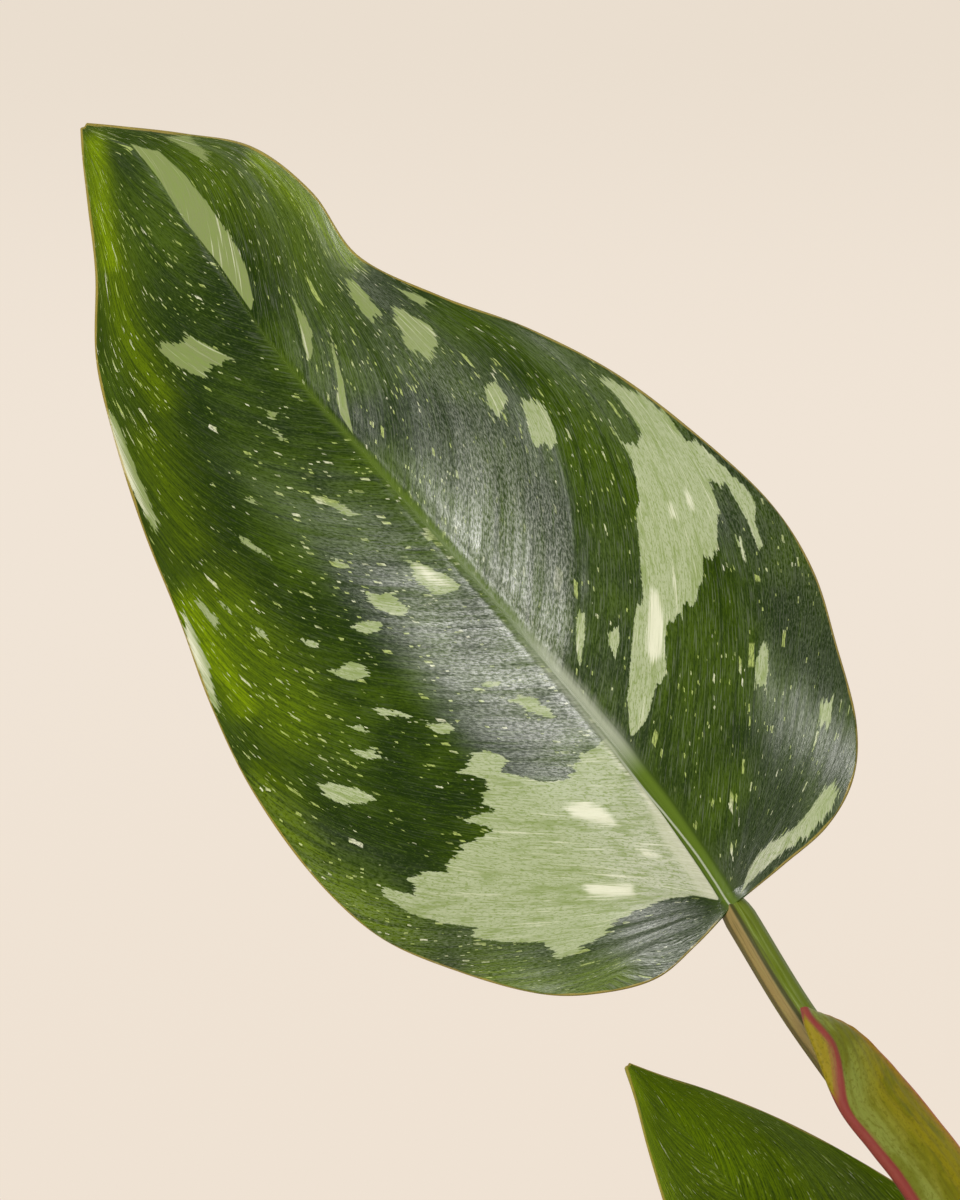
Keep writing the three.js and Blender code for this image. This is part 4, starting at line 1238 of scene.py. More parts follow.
def makeBladeMaterial():
    material, n, skin = startMaterial("leafBlade")
    c, look = bladeColours, named(bladeLook)
    leafVector, veinVector = n.vectorOf("leafPlace"), n.vectorOf("veinPlace")
    away, upward, fromMargin = n.split(leafVector)
    along, across, side = n.split(veinVector)
    patchDepth, slope, creamDepth = n.split(n.vectorOf("patchPlace"))
    freshLitShare, length, shine = n.split(n.vectorOf("tonePlace"))
    under = n.valueOf("underside")
    sideShift = n.times(side, look.sideShift)
    fromMiddle = n.size(away)
    span = n.calc("DIVIDE", upward, length, True)
    right = n.calc("GREATER_THAN", side, 0.0)

    def streaks(name):
        acrossScale, alongScale, detail, shift = bladeStreaks[name]
        vector = n.join(n.times(along, alongScale), n.times(across, acrossScale), n.plus(sideShift, shift))
        return n.noise(vector, 1.0, detail)

    def spots(alongScale, scale, detail, roughness):
        return n.noise(n.join(n.times(along, alongScale), across, sideShift), scale, detail, roughness)

    def tinted(base, *layers):
        for shade, value, bounds in layers:
            base = n.tint(base, c[shade], value, *bounds)
        return base

    threads, speck, mottle = streaks("threads"), spots(*look.speck), spots(*look.mottle)
    teeth, fineTeeth = n.minus(streaks("teeth"), 0.5), n.minus(streaks("fineTeeth"), 0.5)

    # green, darker and lighter along the veins, fresher and yellower where the blade is thin: partly painted light
    # showing through it
    green = tinted(
        c["deep"], ("middle", n.noise(leafVector, look.cloudScale), look.cloud),
        ("lightLine", streaks("light"), look.lightStreaks), ("darkLine", streaks("dark"), look.darkStreaks),
    )
    fresh = n.times(freshLitShare, n.remap(streaks("fresh"), *look.freshStreaks))
    green = tinted(
        n.mix(fresh, green, c["fresh"]), ("darkLine", threads, look.darkThreads),
        ("darkLine", speck, look.darkSpecks), ("lightLine", speck, look.lightSpecks),
    )

    # glossy zones beside the midrib and by the right margin, ragged along the veins
    sheenPlace = n.minus(n.plus(across, n.times(streaks("sheen"), look.sheenWander)), look.sheenWander / 2)
    gloss = n.mixValue(right, n.graded(sheenPlace, glossLeft), n.graded(sheenPlace, glossRight))
    atBase = n.remap(across, *look.sheenAtBase)
    near = [n.largest(n.remap(away, *bounds), atBase) for bounds in (look.sheenRight, look.sheenLeft)]
    gloss = n.times(gloss, n.smallest(*near), n.remap(mottle, *look.sheenMottle))
    gloss = n.times(gloss, n.largest(right, n.remap(away, *look.sheenLeftOfRib)))
    byMargin = n.faded(right, (fromMargin, look.sheenByMargin), (across, look.sheenByMarginUpTo))
    gloss = n.times(n.largest(gloss, byMargin), shine, n.minus(1.0, under))

    # flecks
    spread = n.remap(n.noise(leafVector, look.spreadScale), *look.spread)
    fromBase = n.minus(across, n.times(right, look.rightBehind))
    spread = n.faded(spread, (fromBase, look.spreadAtBase))
    masks = []
    for acrossVeins, alongVeins, size, share in flecking:
        inputs = {"Place": veinVector, "Across": acrossVeins, "Along": alongVeins, "Size": size,
                  "Share": n.times(spread, share)}
        masks.append(n.use(fleckGroup, inputs)["Mask"])
    fades = (speck, look.fleckBySpeck), (gloss, look.fleckBySheen), (shine, look.fleckByShine)
    mask = n.faded(n.largest(*masks), *fades)
    fleck = tinted(c["fleck"], ("cream", n.noise(veinVector, look.fleckPaleScale, 1), look.fleckPale))
    green = n.mix(mask, green, fleck)

    # pale patches: smooth along the veins, ragged across them, paler towards the base
    ragged = n.times(slope, n.plus(n.times(teeth, look.teeth), n.times(fineTeeth, look.fineTeeth)))
    fringe = n.minus(n.noise(veinVector, *look.fringeNoise), 0.5)
    ragged = n.plus(patchDepth, ragged, n.faded(fringe, (fromMiddle, look.fringe)))
    inside = n.remap(ragged, *look.patchEdge)
    sage = tinted(c["sageTip"], ("sage", span, look.sageSpan))
    paler = n.faded(1.0, (span, look.sageBaseSpan), (fromMiddle, look.sageBaseReach))
    sage = tinted(
        n.mix(paler, sage, c["sageBase"]), ("sageLine", mottle, look.sageMottle),
        ("sageLine", speck, look.sageSpecks), ("sageLine", threads, look.sageThreads),
        ("cream", streaks("cream"), look.sageCream),
        ("cream", n.plus(creamDepth, n.times(fineTeeth, look.creamTeeth)), look.creamCore),
    )
    surface = n.mix(inside, green, sage)

    # painted sheen: a pale colour blended in where the blade shines, and pale fibre streaks in the green
    gloss = n.times(gloss, n.remap(inside, *look.sheenOnPale, False))
    fades = (threads, look.fibres), (freshLitShare, look.fibresOffFresh), (away, look.fibresLeft)
    paintedSheen = n.largest(n.faded(gloss, (speck, look.bloomSpecks)), n.faded(n.minus(1.0, inside), *fades))
    surface = n.mix(paintedSheen, surface, c["paintedSheen"])

    # midrib with soft edges; its pale stretch, partly its own pale colour and partly painted sheen; dark edges at
    # the foot that are painted shade in its channel; a pale line; and the pale strip beside it
    soft = n.plus(n.times(teeth, look.ribSoft[0]), n.times(fineTeeth, look.ribSoft[1]))
    power, widest, least = look.ribWidth
    ribReach = n.plus(n.times(n.calc("POWER", n.minus(1.0, span), power), widest), least)
    fromRib = n.plus(n.over(fromMiddle, ribReach), soft)
    ribColour = tinted(
        c["rib"], ("ribPaleAndSheen", span, look.ribPaleFrom), ("rib", span, look.ribPaleTo),
        ("middle", streaks("rib"), look.ribSpots),
    )
    atFoot = n.remap(span, *look.ribFootSpan)
    onRib = n.largest(
        n.faded(1.0, (fromRib, look.ribEdge), (span, look.ribSpan)),
        n.faded(atFoot, (fromMiddle, look.ribFootEdge)),
    )
    ribEdgeShade = n.faded(n.times(atFoot, look.ribDarkShare), (fromMiddle, look.ribDarkEdge))
    ribColour = n.mix(ribEdgeShade, ribColour, c["darkLine"])
    lineAt = n.plus(n.remap(span, *look.ribLineAt), n.times(streaks("ribLine"), look.ribLineWander))
    onLine = n.faded(1.0, (n.size(n.plus(away, lineAt)), look.ribLineEdge), (span, look.ribLineSpan))
    surface = n.mix(onRib, surface, n.mix(onLine, ribColour, c["ribPaleAndSheen"]))
    strip = n.faded(look.stripWidth, (span, look.stripTop), (span, look.stripFoot))
    strip = n.minus(strip, n.size(n.plus(away, look.stripMiddle)))
    onStrip = n.times(n.calc("LESS_THAN", away, -look.stripMiddle), inside, look.stripShare)
    surface = n.mix(n.faded(onStrip, (strip, look.stripEdge)), surface, c["ribStrip"])

    # the thin line round the margin, and the paler underside
    rimWidth = n.remap(streaks("rim"), *look.rimWidth, False)
    edges = (n.minus(rimWidth, fromMargin), look.rimEdge), (n.plus(fromMiddle, upward), look.rimOffBase)
    surface = n.mix(n.faded(1.0, *edges), surface, c["rimLine"])
    swayed = n.plus(n.over(across, look.underVeinsEvery), n.times(teeth, look.underVeinSway))
    paleVein = n.remap(n.size(n.minus(n.calc("FRACT", swayed), 0.5)), *look.underVein)
    paleRib = n.remap(n.over(fromMiddle, n.remap(span, *look.underRibWidth, False)), *look.underRib)
    below = n.mix(n.largest(paleVein, paleRib), c["under"], c["underPale"])
    surface = n.tint(surface, below, under, *look.underShare)

    creased = n.faded(1.0, (fromMiddle, look.creaseFade), (fromMiddle, look.creaseDepth))
    height = n.use(skinGroup, {"Place": veinVector, "Crease": creased})["Height"]
    finishSkin(n, skin, surface, height, strength=1.0, distance=1.0, roughness=0.6, specular=0.03)
    coat = n.faded(gloss, (speck, look.coatSpecks), (streaks("coat"), look.coatStreaks))
    n.feed(skin.inputs["Coat Weight"], coat)
    skin.inputs["Coat Roughness"].default_value = 0.24
    skin.inputs["Coat IOR"].default_value = 1.7
    return material


leafBlade = makeBladeMaterial()
for name, leaf in leaves.items():
    addPiece(name + "_bladeSkin", bladeMesh(name + "_bladeSkin", leaf), leafBlade, "leaf", name + "_blade")
print("blades made")


# Stalks: a round rod swept along each path by Geometry Nodes, grooved lengthwise

stalk = {
    "radiusLow": 4.0,
    "radiusTop": 2.3,
    "taper": 2.2,
    "endFrom": 0.93,
    "mainEndFrom": 0.94,
    "endShare": 0.3,  # of the radius, where the rod ends inside the blade's keel
    "groove": 0.07,
    "groovePower": 6.0,
    "ridges": 0.018,
    "ridgeCount": 11,
    "sides": 40,
    "steps": 90,
    "sunk": 3.0,  # how far below its node on the stem a stalk starts
    "rise": 0.34,
    "spread": 0.2,
    "arrive": 0.3,
    "drop": 1.6,
    "back": 1.1,
    "under": 5.0,  # how far the rod runs on under the blade
    "underDepths": ((0.5, 1.8), (1.2, 1.5), (1.9, 1.2)),  # shares of that, and how deep it lies there
    "mainUnderDepth": 2.7,
}
mainStalkLine = [(4.4, 3, 187), (1.2, 6, 203), (-5.5, 7.4, 228), (-12, 8.9, 241.3), (-18, 10.8, 251.6),
                 (-27.2, 15, 264.9), (-35.8, 20.6, 276.2), (-43.9, 26.5, 288.6)]
stemLine = np.array([(0, 0, 48), (0, 0, 78), (0, 0, 108), (1.5, -1, 132), (3.5, -1.5, 158), (5, 0, 182),
                     (5.2, 0.4, 190)])


def stemPointAt(height):
    line = rowAt(stemLine, np.linspace(0, 1, 2000))
    return line[np.argmin(np.abs(line[:, 2] - height))]


def stalkPath(leaf):
    along, out, _ = leaf["axes"]
    base, s = np.array(leaf["base"], float), named(stalk)
    start = stemPointAt(leaf["node"] - s.sunk)
    if isMain(leaf):
        under = base + along * s.under - out * s.mainUnderDepth
        return rowAt(np.array([start, *mainStalkLine, under]), np.linspace(0, 1, s.steps))
    end = base - along * s.back - out * s.drop
    reach = np.linalg.norm(end - start)
    heading = math.radians(leaf["heading"])
    leave = np.array((s.spread * math.cos(heading), s.spread * math.sin(heading), s.rise))
    first, last = start + leave * reach, end - along * s.arrive * reach
    t = np.linspace(0, 1, s.steps)[:, None]
    line = (1 - t) ** 3 * start + 3 * t * (1 - t) ** 2 * first + 3 * t**2 * (1 - t) * last + t**3 * end
    return np.concatenate((line, [base + along * s.under * share - out * depth for share, depth in s.underDepths]))


def makeRodTree(name):
    n, given, out = startTree(
        "GeometryNodeTree", name,
        [("Path", "Geometry"), ("Radius at foot", "Float", 0.004), ("Radius at top", "Float", 0.0023),
         ("Taper", "Float", 2.2), ("End share", "Float", 0.6), ("End from", "Float", 0.93),
         ("Groove", "Float", 0.1), ("Groove power", "Float", 6.0), ("Ridges", "Float", 0.02),
         ("Ridge count", "Float", 9.0), ("Sides", "Int", 32), ("Finish", "Material")],
        [("Rod", "Geometry")],
    )
    # along the path: thicker at the foot, thin where it ends under the blade
    line = n.add("GeometryNodeMeshToCurve", {"Mesh": given["Path"]}).outputs[0]
    place = n.add("GeometryNodeSplineParameter").outputs
    left = n.calc("SUBTRACT", 1.0, place["Factor"], True)
    extra = n.minus(given["Radius at foot"], given["Radius at top"])
    radius = n.plus(given["Radius at top"], n.times(extra, n.calc("POWER", left, given["Taper"])))
    radius = n.times(radius, n.remap(place["Factor"], given["End from"], 1.0, 1.0, given["End share"]))
    line = n.store(line, "rodAlong", place["Length"])
    line = n.add("GeometryNodeSetCurveNormal", {"Curve": line}, mode="Z_UP").outputs[0]

    # across it: a ring with a shallow groove on one side and low ridges all round
    circle = {"Resolution": given["Sides"], "Radius": 1.0}
    ring = n.add("GeometryNodeCurvePrimitiveCircle", circle).outputs[0]
    spot = n.add("GeometryNodeInputPosition").outputs[0]
    ring = n.store(ring, "rodAround", spot, "FLOAT_VECTOR")
    x, y, _ = n.split(spot)
    angle = n.calc("ARCTAN2", y, x)
    groove = n.times(given["Groove"], n.calc("POWER", n.largest(y, 0.0), given["Groove power"]))
    ridges = n.times(given["Ridges"], n.calc("SINE", n.times(angle, given["Ridge count"])))
    moved = n.scaled(spot, n.plus(n.minus(1.0, groove), ridges))
    ring = n.add("GeometryNodeSetPosition", {"Geometry": ring, "Position": moved}).outputs[0]
    sweep = {"Curve": line, "Profile Curve": ring, "Scale": radius, "Fill Caps": True}
    rod = n.add("GeometryNodeCurveToMesh", sweep).outputs[0]
    rod = n.add("GeometryNodeSetShadeSmooth", {"Geometry": rod}).outputs[0]
    n.feed(out[0], n.realized(rod, given["Finish"]))
    return n.tree


stalkColours = {
    "olive": colour(86, 92, 34),
    "tan": colour(121, 104, 60),
    # painted shade: the darker tan of the rod's left edge as the viewer sees it
    "tanShaded": colour(78, 68, 32),
    "dark": colour(52, 52, 12),
    "green": colour(80, 94, 8),
    "pale": colour(118, 132, 72),
}
# Colours round the rod, as shares of a turn. The photograph shows it from 0.85 past 0 to 0.35. The dark tan
# from 0.86 to 0.96 is painted shade on the rod's left edge as the viewer sees it.
stalkStripes = [
    (0.0, "tan"), (0.06, "tan"), (0.078, "dark"), (0.1, "dark"), (0.12, "green"), (0.3, "green"),
    (0.35, "olive"), (0.42, "olive"), (0.6, "green"), (0.8, "olive"), (0.86, "tanShaded"), (0.96, "tanShaded"),
    (0.985, "tan"),
]
stalkLook = {  # tints are where they start and are full, and their share
    "wanderNoise": (2.0, 0.03, 1.5, 3),  # scale round the rod and along it, noise scale and detail
    "wander": 0.02,
    "lines": (9.0, 0.16, 1.0, 3),
    "bandNoise": (9.0, 0.16, 0.35, 4, 0.7),
    "paleLines": (0.5, 0.72, 0.2),
    "bandStart": (0.1, 0.13),
    "bandEnd": (0.22, 0.15),
    "bandSpots": (0.45, 0.6, 0.0, 0.8),
    "darkLines": (0.45, 0.28, 0.5),
    "roughness": (0.3, 0.7, 0.42, 0.56),
}


def makeStalkMaterial():
    material, n, skin = startMaterial("leafStalk")
    c, look = stalkColours, named(stalkLook)
    x, y, _ = n.split(n.vectorOf("rodAround"))
    along = n.times(n.valueOf("rodAlong"), 1 / millimetre)
    turn = n.plus(n.over(n.calc("ARCTAN2", y, x), 2 * math.pi), 0.5)

    def grain(around, lengthwise, *rest):
        return n.noise(n.join(n.times(x, around), n.times(y, around), n.times(along, lengthwise)), *rest)

    wander = n.times(n.minus(grain(*look.wanderNoise), 0.5), look.wander)
    stripes = n.ramp(n.plus(turn, wander), [(place, c[shade]) for place, shade in stalkStripes])
    lines = grain(*look.lines)
    stripes = n.tint(stripes, c["pale"], lines, *look.paleLines)
    bandNoise = grain(*look.bandNoise)
    band = n.faded(1.0, (turn, look.bandStart), (turn, look.bandEnd), (bandNoise, look.bandSpots))
    stripes = n.tint(n.mix(band, stripes, c["pale"]), c["dark"], lines, *look.darkLines)
    rough = n.remap(lines, *look.roughness, False)
    finishSkin(n, skin, stripes, lines, strength=0.5, distance=0.1, roughness=rough, specular=0.15)
    return material


rodTree = makeRodTree("stalkRod")
stalkSkin = makeStalkMaterial()
for name, leaf in leaves.items():
    path = stalkPath(leaf)
    line = bpy.data.meshes.new("path")
    line.from_pydata((path * millimetre).tolist(), [(i, i + 1) for i in range(len(path) - 1)], [])
    made = meshFromTree(name + "_stalkRod", line, rodTree, {
        "Radius at foot": stalk["radiusLow"] * millimetre, "Radius at top": stalk["radiusTop"] * millimetre,
        "Taper": stalk["taper"], "End share": stalk["endShare"],
        "End from": stalk["mainEndFrom" if isMain(leaf) else "endFrom"], "Groove": stalk["groove"],
        "Groove power": stalk["groovePower"], "Ridges": stalk["ridges"],
        "Ridge count": float(stalk["ridgeCount"]), "Sides": stalk["sides"], "Finish": stalkSkin,
    })
    addPiece(name + "_stalkRod", made, stalkSkin, "stalk", name + "_stalk")
print("stalks made")


# Sheath: a folded leaf scale with a pink keel, closed round the youngest stalk

sheath = {
    "steps": 110,
    "stepPower": 0.9,
    "frontSteps": 34,
    "backSteps": 18,
    "frontBulge": 1.5,  # for each 10 of its width
    "backBulge": 3.8,
    "bulgePower": 0.7,
    "keel": 0.4,
    "keelReach": 0.8,
    "margin": 0.3,
    "marginReach": 0.5,
    "thinBelow": 6.0,  # the keel and the margin flatten where the sheath is narrower
    "ripple": 0.05,
    "rippleTurn": 4.2,  # radians for each millimetre across
    "lineBare": 0.3,
    "lineInset": 1.8,  # the pink line runs inside the keel's edge towards the tip
    "lineRise": 6.0,
    "lineFall": 11.0,
}
# Each row is the keel (x, y, z) and the margin (x, y, z), from the foot to the tip
sheathLines = np.array([
    (-0.3, -4.5, 188.5, 10.5, -2.5, 189),
    (-3.2, -5, 205, 8.5, 0, 207),
    (-7.9, -3.4, 225, 3.2, 3, 229.5),
    (-14.2, -0.6, 243, -5.4, 6.6, 247),
    (-21.4, 2.2, 254.8, -12.3, 9.4, 257.6),
    (-26, 3.6, 260.8, -16.4, 10.8, 262.8),
    (-30.4, 5, 266.5, -21.1, 11.8, 268.5),
    (-33.9, 7.4, 274.9, -26.6, 12.6, 274.3),
    (-35, 8.6, 277.8, -30.2, 12.4, 276.7),
    (-35.2, 9.6, 279.4, -34, 11.6, 278.4),
])


# A share from 0 to 1, eased at both ends
def smoothed(share):
    share = np.clip(share, 0, 1)
    return share**2 * (3 - 2 * share)


def sheathMesh():
    s = named(sheath)
    row = rowAt(sheathLines, np.linspace(0, 1, s.steps) ** s.stepPower)
    keel, across = row[:, :3], row[:, 3:] - row[:, :3]
    width = np.linalg.norm(across, axis=1, keepdims=True)
    front = unit(np.cross(across, unit(np.gradient(keel, axis=0))))
    length = np.concatenate(([0], np.cumsum(np.linalg.norm(np.diff(keel, axis=0), axis=1))))
    toTip = length[-1] - length[:, None]
    inset = smoothed(toTip / s.lineRise) * (1 - smoothed((toTip - s.lineRise) / s.lineFall))
    inset = s.lineBare + s.lineInset * inset
    thin = np.minimum(width / s.thinBelow, 1)
    ways = [(way, s.frontBulge) for way in np.linspace(0, 1, s.frontSteps)]
    ways += [(way, -s.backBulge) for way in np.linspace(1, 0, s.backSteps + 2)[1:-1]]
    rings, places = [], []
    for way, bulge in ways:
        lift = bulge * width / 10 * np.sin(np.pi * way) ** s.bulgePower
        fromKeel, fromMargin = way * width, (1 - way) * width
        if bulge > 0:
            lift = lift + s.keel * np.exp(-(((fromKeel - inset) / s.keelReach) ** 2)) * thin
            lift = lift + s.margin * np.exp(-((fromMargin / s.marginReach) ** 2)) * thin
            lift = lift + s.ripple * np.sin(fromKeel * s.rippleTurn)
        rings.append(keel + across * way + front * lift)
        face = np.full_like(width, np.sign(bulge))
        places.append(np.concatenate((fromKeel - inset, fromMargin, face), 1))
    points, places = np.stack(rings, 1), np.stack(places, 1)
    lengths = np.repeat(length, points.shape[1])
    middles = [(each[0].mean(0), each[-1].mean(0)) for each in (points, places)]
    return smoothMesh(
        "sheathSkin", np.concatenate((points.reshape(-1, 3), middles[0])), ringFaces(*points.shape[:2]),
        {"sheathPlace": np.concatenate((places.reshape(-1, 3), middles[1])),
         "sheathAlong": np.concatenate((lengths, [0, length[-1]]))},
    )


sheathColours = {
    "olive": colour(116, 108, 5),
    "oliveDark": colour(78, 74, 4),
    "oliveGreen": colour(84, 88, 4),
    "sage": colour(108, 116, 48),
    "tipOlive": colour(122, 108, 20),
    "edge": colour(140, 100, 24),
    "pink": colour(118, 42, 46),
    "pinkPale": colour(172, 94, 76),
}
sheathLook = {
    "lines": (0.09, 1.6, 1.0, 4),  # scale along the sheath and across it, then the noise's own numbers
    "speck": (0.6, 1.0, 2.6, 3, 0.7),
    "cloud": (0.12, 0.3, 1.0, 3),
    "cloudReach": 4.0,
    "olive": (3.5, 9.0),  # tints: where they start and are full, and their share
    "green": (0.46, 0.6, 0.7),
    "darkLines": (0.54, 0.36, 0.3),
    "outsideLine": (-0.2, -0.8),
    "edge": (1.8, 0.3, 0.7),
    "back": (0.2, -0.2, 0.75),
    "darkSpecks": (0.5, 0.35, 0.5),
    "wander": 1.2,
    "lineWidth": (60.0, 100.0, 1.05, 0.48),  # half widths at two places along the sheath
    "line": (0.3, -0.3, 0.9),
    "marginWander": 0.4,
    "margin": (0.4, 0.1, 0.7),
    "roughness": (0.3, 0.7, 0.42, 0.56),
}


def makeSheathMaterial():
    material, n, skin = startMaterial("sheathScale")
    c, look = sheathColours, named(sheathLook)
    fromLine, fromMargin, face = n.split(n.vectorOf("sheathPlace"))
    along = n.valueOf("sheathAlong")

    def grain(lengthwise, crosswise, *rest):
        return n.noise(n.join(n.times(along, lengthwise), n.times(fromLine, crosswise), face), *rest)

    lines, speck, cloud = grain(*look.lines), grain(*look.speck), grain(*look.cloud)
    wander = n.times(n.minus(lines, 0.5), look.wander)
    beside = n.plus(fromLine, n.times(cloud, look.cloudReach))
    lineReach = n.remap(along, *look.lineWidth, False)
    surface = c["sage"]
    for shade, value, bounds in (
        ("olive", beside, look.olive), ("oliveGreen", cloud, look.green), ("oliveDark", lines, look.darkLines),
        ("tipOlive", fromLine, look.outsideLine), ("edge", fromMargin, look.edge), ("olive", face, look.back),
        ("oliveDark", speck, look.darkSpecks),
        ("pink", n.minus(n.plus(n.size(fromLine), wander), lineReach), look.line),
        ("pinkPale", n.plus(fromMargin, n.times(wander, look.marginWander)), look.margin),
    ):
        surface = n.tint(surface, c[shade], value, *bounds)
    rough = n.remap(lines, *look.roughness, False)
    finishSkin(n, skin, surface, speck, strength=0.6, distance=0.1, roughness=rough, specular=0.08)
    return material


addPiece("sheathSkin", sheathMesh(), makeSheathMaterial(), "sheath", "sheath")
print("sheath made")


# Stem: ringed where each leaf grew, with short air roots

stem = {
    "radiusLow": 6.4,
    "radiusTop": 5.0,
    "swell": 0.5,
    "reach": 1.6,
    "below": 3.0,
    "tipShare": 0.045,
    "tipLeast": 0.02,
    "scar": 0.22,
    "scarRidge": (1.0, 1.4, 0.35),  # a leaf's scar is a ridge and a furrow: share, place and reach
    "scarFurrow": (-0.7, 2.2, 0.4),
    "ribs": ((0.012, 9, 0.06, 0.0), (0.008, 17, 0.0, 1.0)),  # share of the radius, count, twist and start
    "steps": 260,
    "sides": 56,
}
airRoot = {
    "count": 7,
    "seed": 11,
    "lowest": 116.0,
    "span": 62.0,
    "shortest": 4.0,
    "added": 9.0,
    "inside": 4.2,  # it starts this far from the stem's middle
    "bend": 0.25,
    "droop": 0.55,
    "radius": 1.25,
    "taper": 0.25,
    "tipLeast": 0.02,
    "steps": 9,
    "sides": 10,
}


def stemMesh():
    s, shares = named(stem), np.linspace(0, 1, stem["steps"])
    line = rowAt(stemLine, shares)
    height = line[:, 2]
    rings, scars = np.zeros_like(height), np.zeros_like(height)
    for leaf in leaves.values():
        away = height - leaf["node"] + s.below
        rings += s.swell * np.exp(-((away / s.reach) ** 2))
        for share, place, reach in (s.scarRidge, s.scarFurrow):
            scars += share * np.exp(-(((away - place) / reach) ** 2))
    shoulder = np.clip(shares - 1 + s.tipShare, 0, None) / s.tipShare
    radius = s.radiusLow + (s.radiusTop - s.radiusLow) * shares + rings + s.scar * scars
    radius = (radius * np.sqrt(np.clip(1 - shoulder**2, s.tipLeast, None)))[:, None]
    angle, waves = aroundTurn(s.sides), 1.0
    for lift, count, twist, start in s.ribs:
        waves = waves + lift * np.sin(count * angle + twist * height[:, None] + start)
    points = ringsAlong(line, radius * waves, (0, 1, 0))
    points = np.concatenate((points.reshape(-1, 3), [line[0], line[-1]]))
    scarPlace = np.concatenate((np.repeat(scars, s.sides), [0, 0]))
    return smoothMesh("stemSkin", points, ringFaces(s.steps, s.sides), {"scar": scarPlace})


def airRoots():
    r, points, faces = named(airRoot), [], []
    draw, share = draws(r.seed), np.linspace(0, 1, r.steps)
    for i in range(r.count):
        middle = stemPointAt(r.lowest + r.span * (i + next(draw)) / r.count)
        heading = 2 * math.pi * next(draw)
        length = r.shortest + r.added * next(draw)
        out = np.array((math.cos(heading), math.sin(heading), 0.0))
        line = middle + out * (r.inside + length * (share - r.bend * share**2))[:, None]
        line[:, 2] -= r.droop * length * share**2
        radius = r.radius * np.sqrt(np.clip(1 - share**3, r.tipLeast, 1)) * (1 - r.taper * share)
        rings = ringsAlong(line, np.repeat(radius[:, None], r.sides, 1), (0, 0, 1))
        start = len(points)
        points += [*rings.reshape(-1, 3), line[0], line[-1]]
        faces += [tuple(start + k for k in face) for face in ringFaces(r.steps, r.sides)]
    return smoothMesh("airRoots", points, faces)


barkLook = {
    "stretch": (1.0, 1.0, 0.16),
    "lines": (1400, 3, 0.6),
    "cloud": (90, 3),
    "cloudRange": (0.35, 0.7),
    "palePart": (0.5, 0.7, 0.5),
    "scarPart": (0.2, 0.8, 0.85),
    "paleColour": colour(150, 152, 96),
    "scarColour": colour(98, 76, 44),
}


def makeBarkMaterial(name, green, brown, share):
    material, n, skin = startMaterial(name)
    look = named(barkLook)
    lines = n.noise(n.stretched(n.place(), look.stretch), *look.lines)
    surface = n.tint(green, brown, n.noise(n.place(), *look.cloud), *look.cloudRange, share)
    surface = n.tint(surface, look.paleColour, lines, *look.palePart)
    surface = n.tint(surface, look.scarColour, n.size(n.valueOf("scar")), *look.scarPart)
    finishSkin(n, skin, surface, lines, strength=0.6, distance=0.3, roughness=0.6)
    return material


stemBark = makeBarkMaterial("stemSkin", colour(96, 108, 48), colour(112, 92, 52), 0.6)
rootBark = makeBarkMaterial("rootSkin", colour(136, 112, 72), colour(96, 74, 46), 0.9)
addPiece("stemSkin", stemMesh(), stemBark, "stem", "stem")
addPiece("airRoots", airRoots(), rootBark, "stem")
print("stem made")


# Pot: turned clay with a thick band below its rim and three drain holes

pot = {
    "height": 122.0,
    "rimRadius": 67.0,
    "footRadius": 48.0,
    "wall": 4.2,
    "floor": 7.0,
    "bandHeight": 17.0,
    "bandStep": 2.6,
    "bandSlope": 0.8,
    "bandDraft": 0.3,
    "rimDraft": 0.4,
    "insideFillet": 3.0,
    "drainHoles": 3,
    "drainRadius": 4.5,
    "drainCircle": 26.0,
    "drainDepth": 30.0,
    "footRound": 2.0,  # how far the rounding of each corner reaches
    "bandRound": (0.8, 1.4),
    "rimRound": (2.6, 1.5),
    "insideRound": 2.0,
    "sides": 160,
    "longestStep": 3.0,
    "outOfRound": ((0.0012, 2, 0.6), (0.0006, 5, 0.0)),  # share of the radius, count and start
    "turningMarks": 0.05,
    "turningTurn": 1.9,  # radians for each millimetre of height
    "marksBeyond": 30.0,  # of the axis
}


def outerRadiusAt(z):
    spread = pot["rimRadius"] - pot["bandStep"] - pot["footRadius"]
    return pot["footRadius"] + spread * z / pot["height"]


def innerRadiusAt(z):
    return outerRadiusAt(z) - pot["wall"]


# A profile with its corners rounded: each corner is a radius, a height and how far the rounding reaches
def roundedProfile(corners, steps=7):
    profile = []
    for i, (r, z, reach) in enumerate(corners):
        here = np.array((r, z), float)
        if reach == 0:
            profile.append(here)
            continue
        start, end = (here + unit(np.array(corners[k][:2], float) - here) * reach for k in (i - 1, i + 1))
        profile += [(1 - t) ** 2 * start + 2 * t * (1 - t) * here + t * t * end for t in np.linspace(0, 1, steps)]
    return np.array(profile)


def splitLong(profile, longest):
    points = [profile[0]]
    for a, b in zip(profile, profile[1:]):
        count = max(1, math.ceil(np.linalg.norm(b - a) / longest))
        points += [a + (b - a) * k / count for k in range(1, count + 1)]
    return np.array(points)


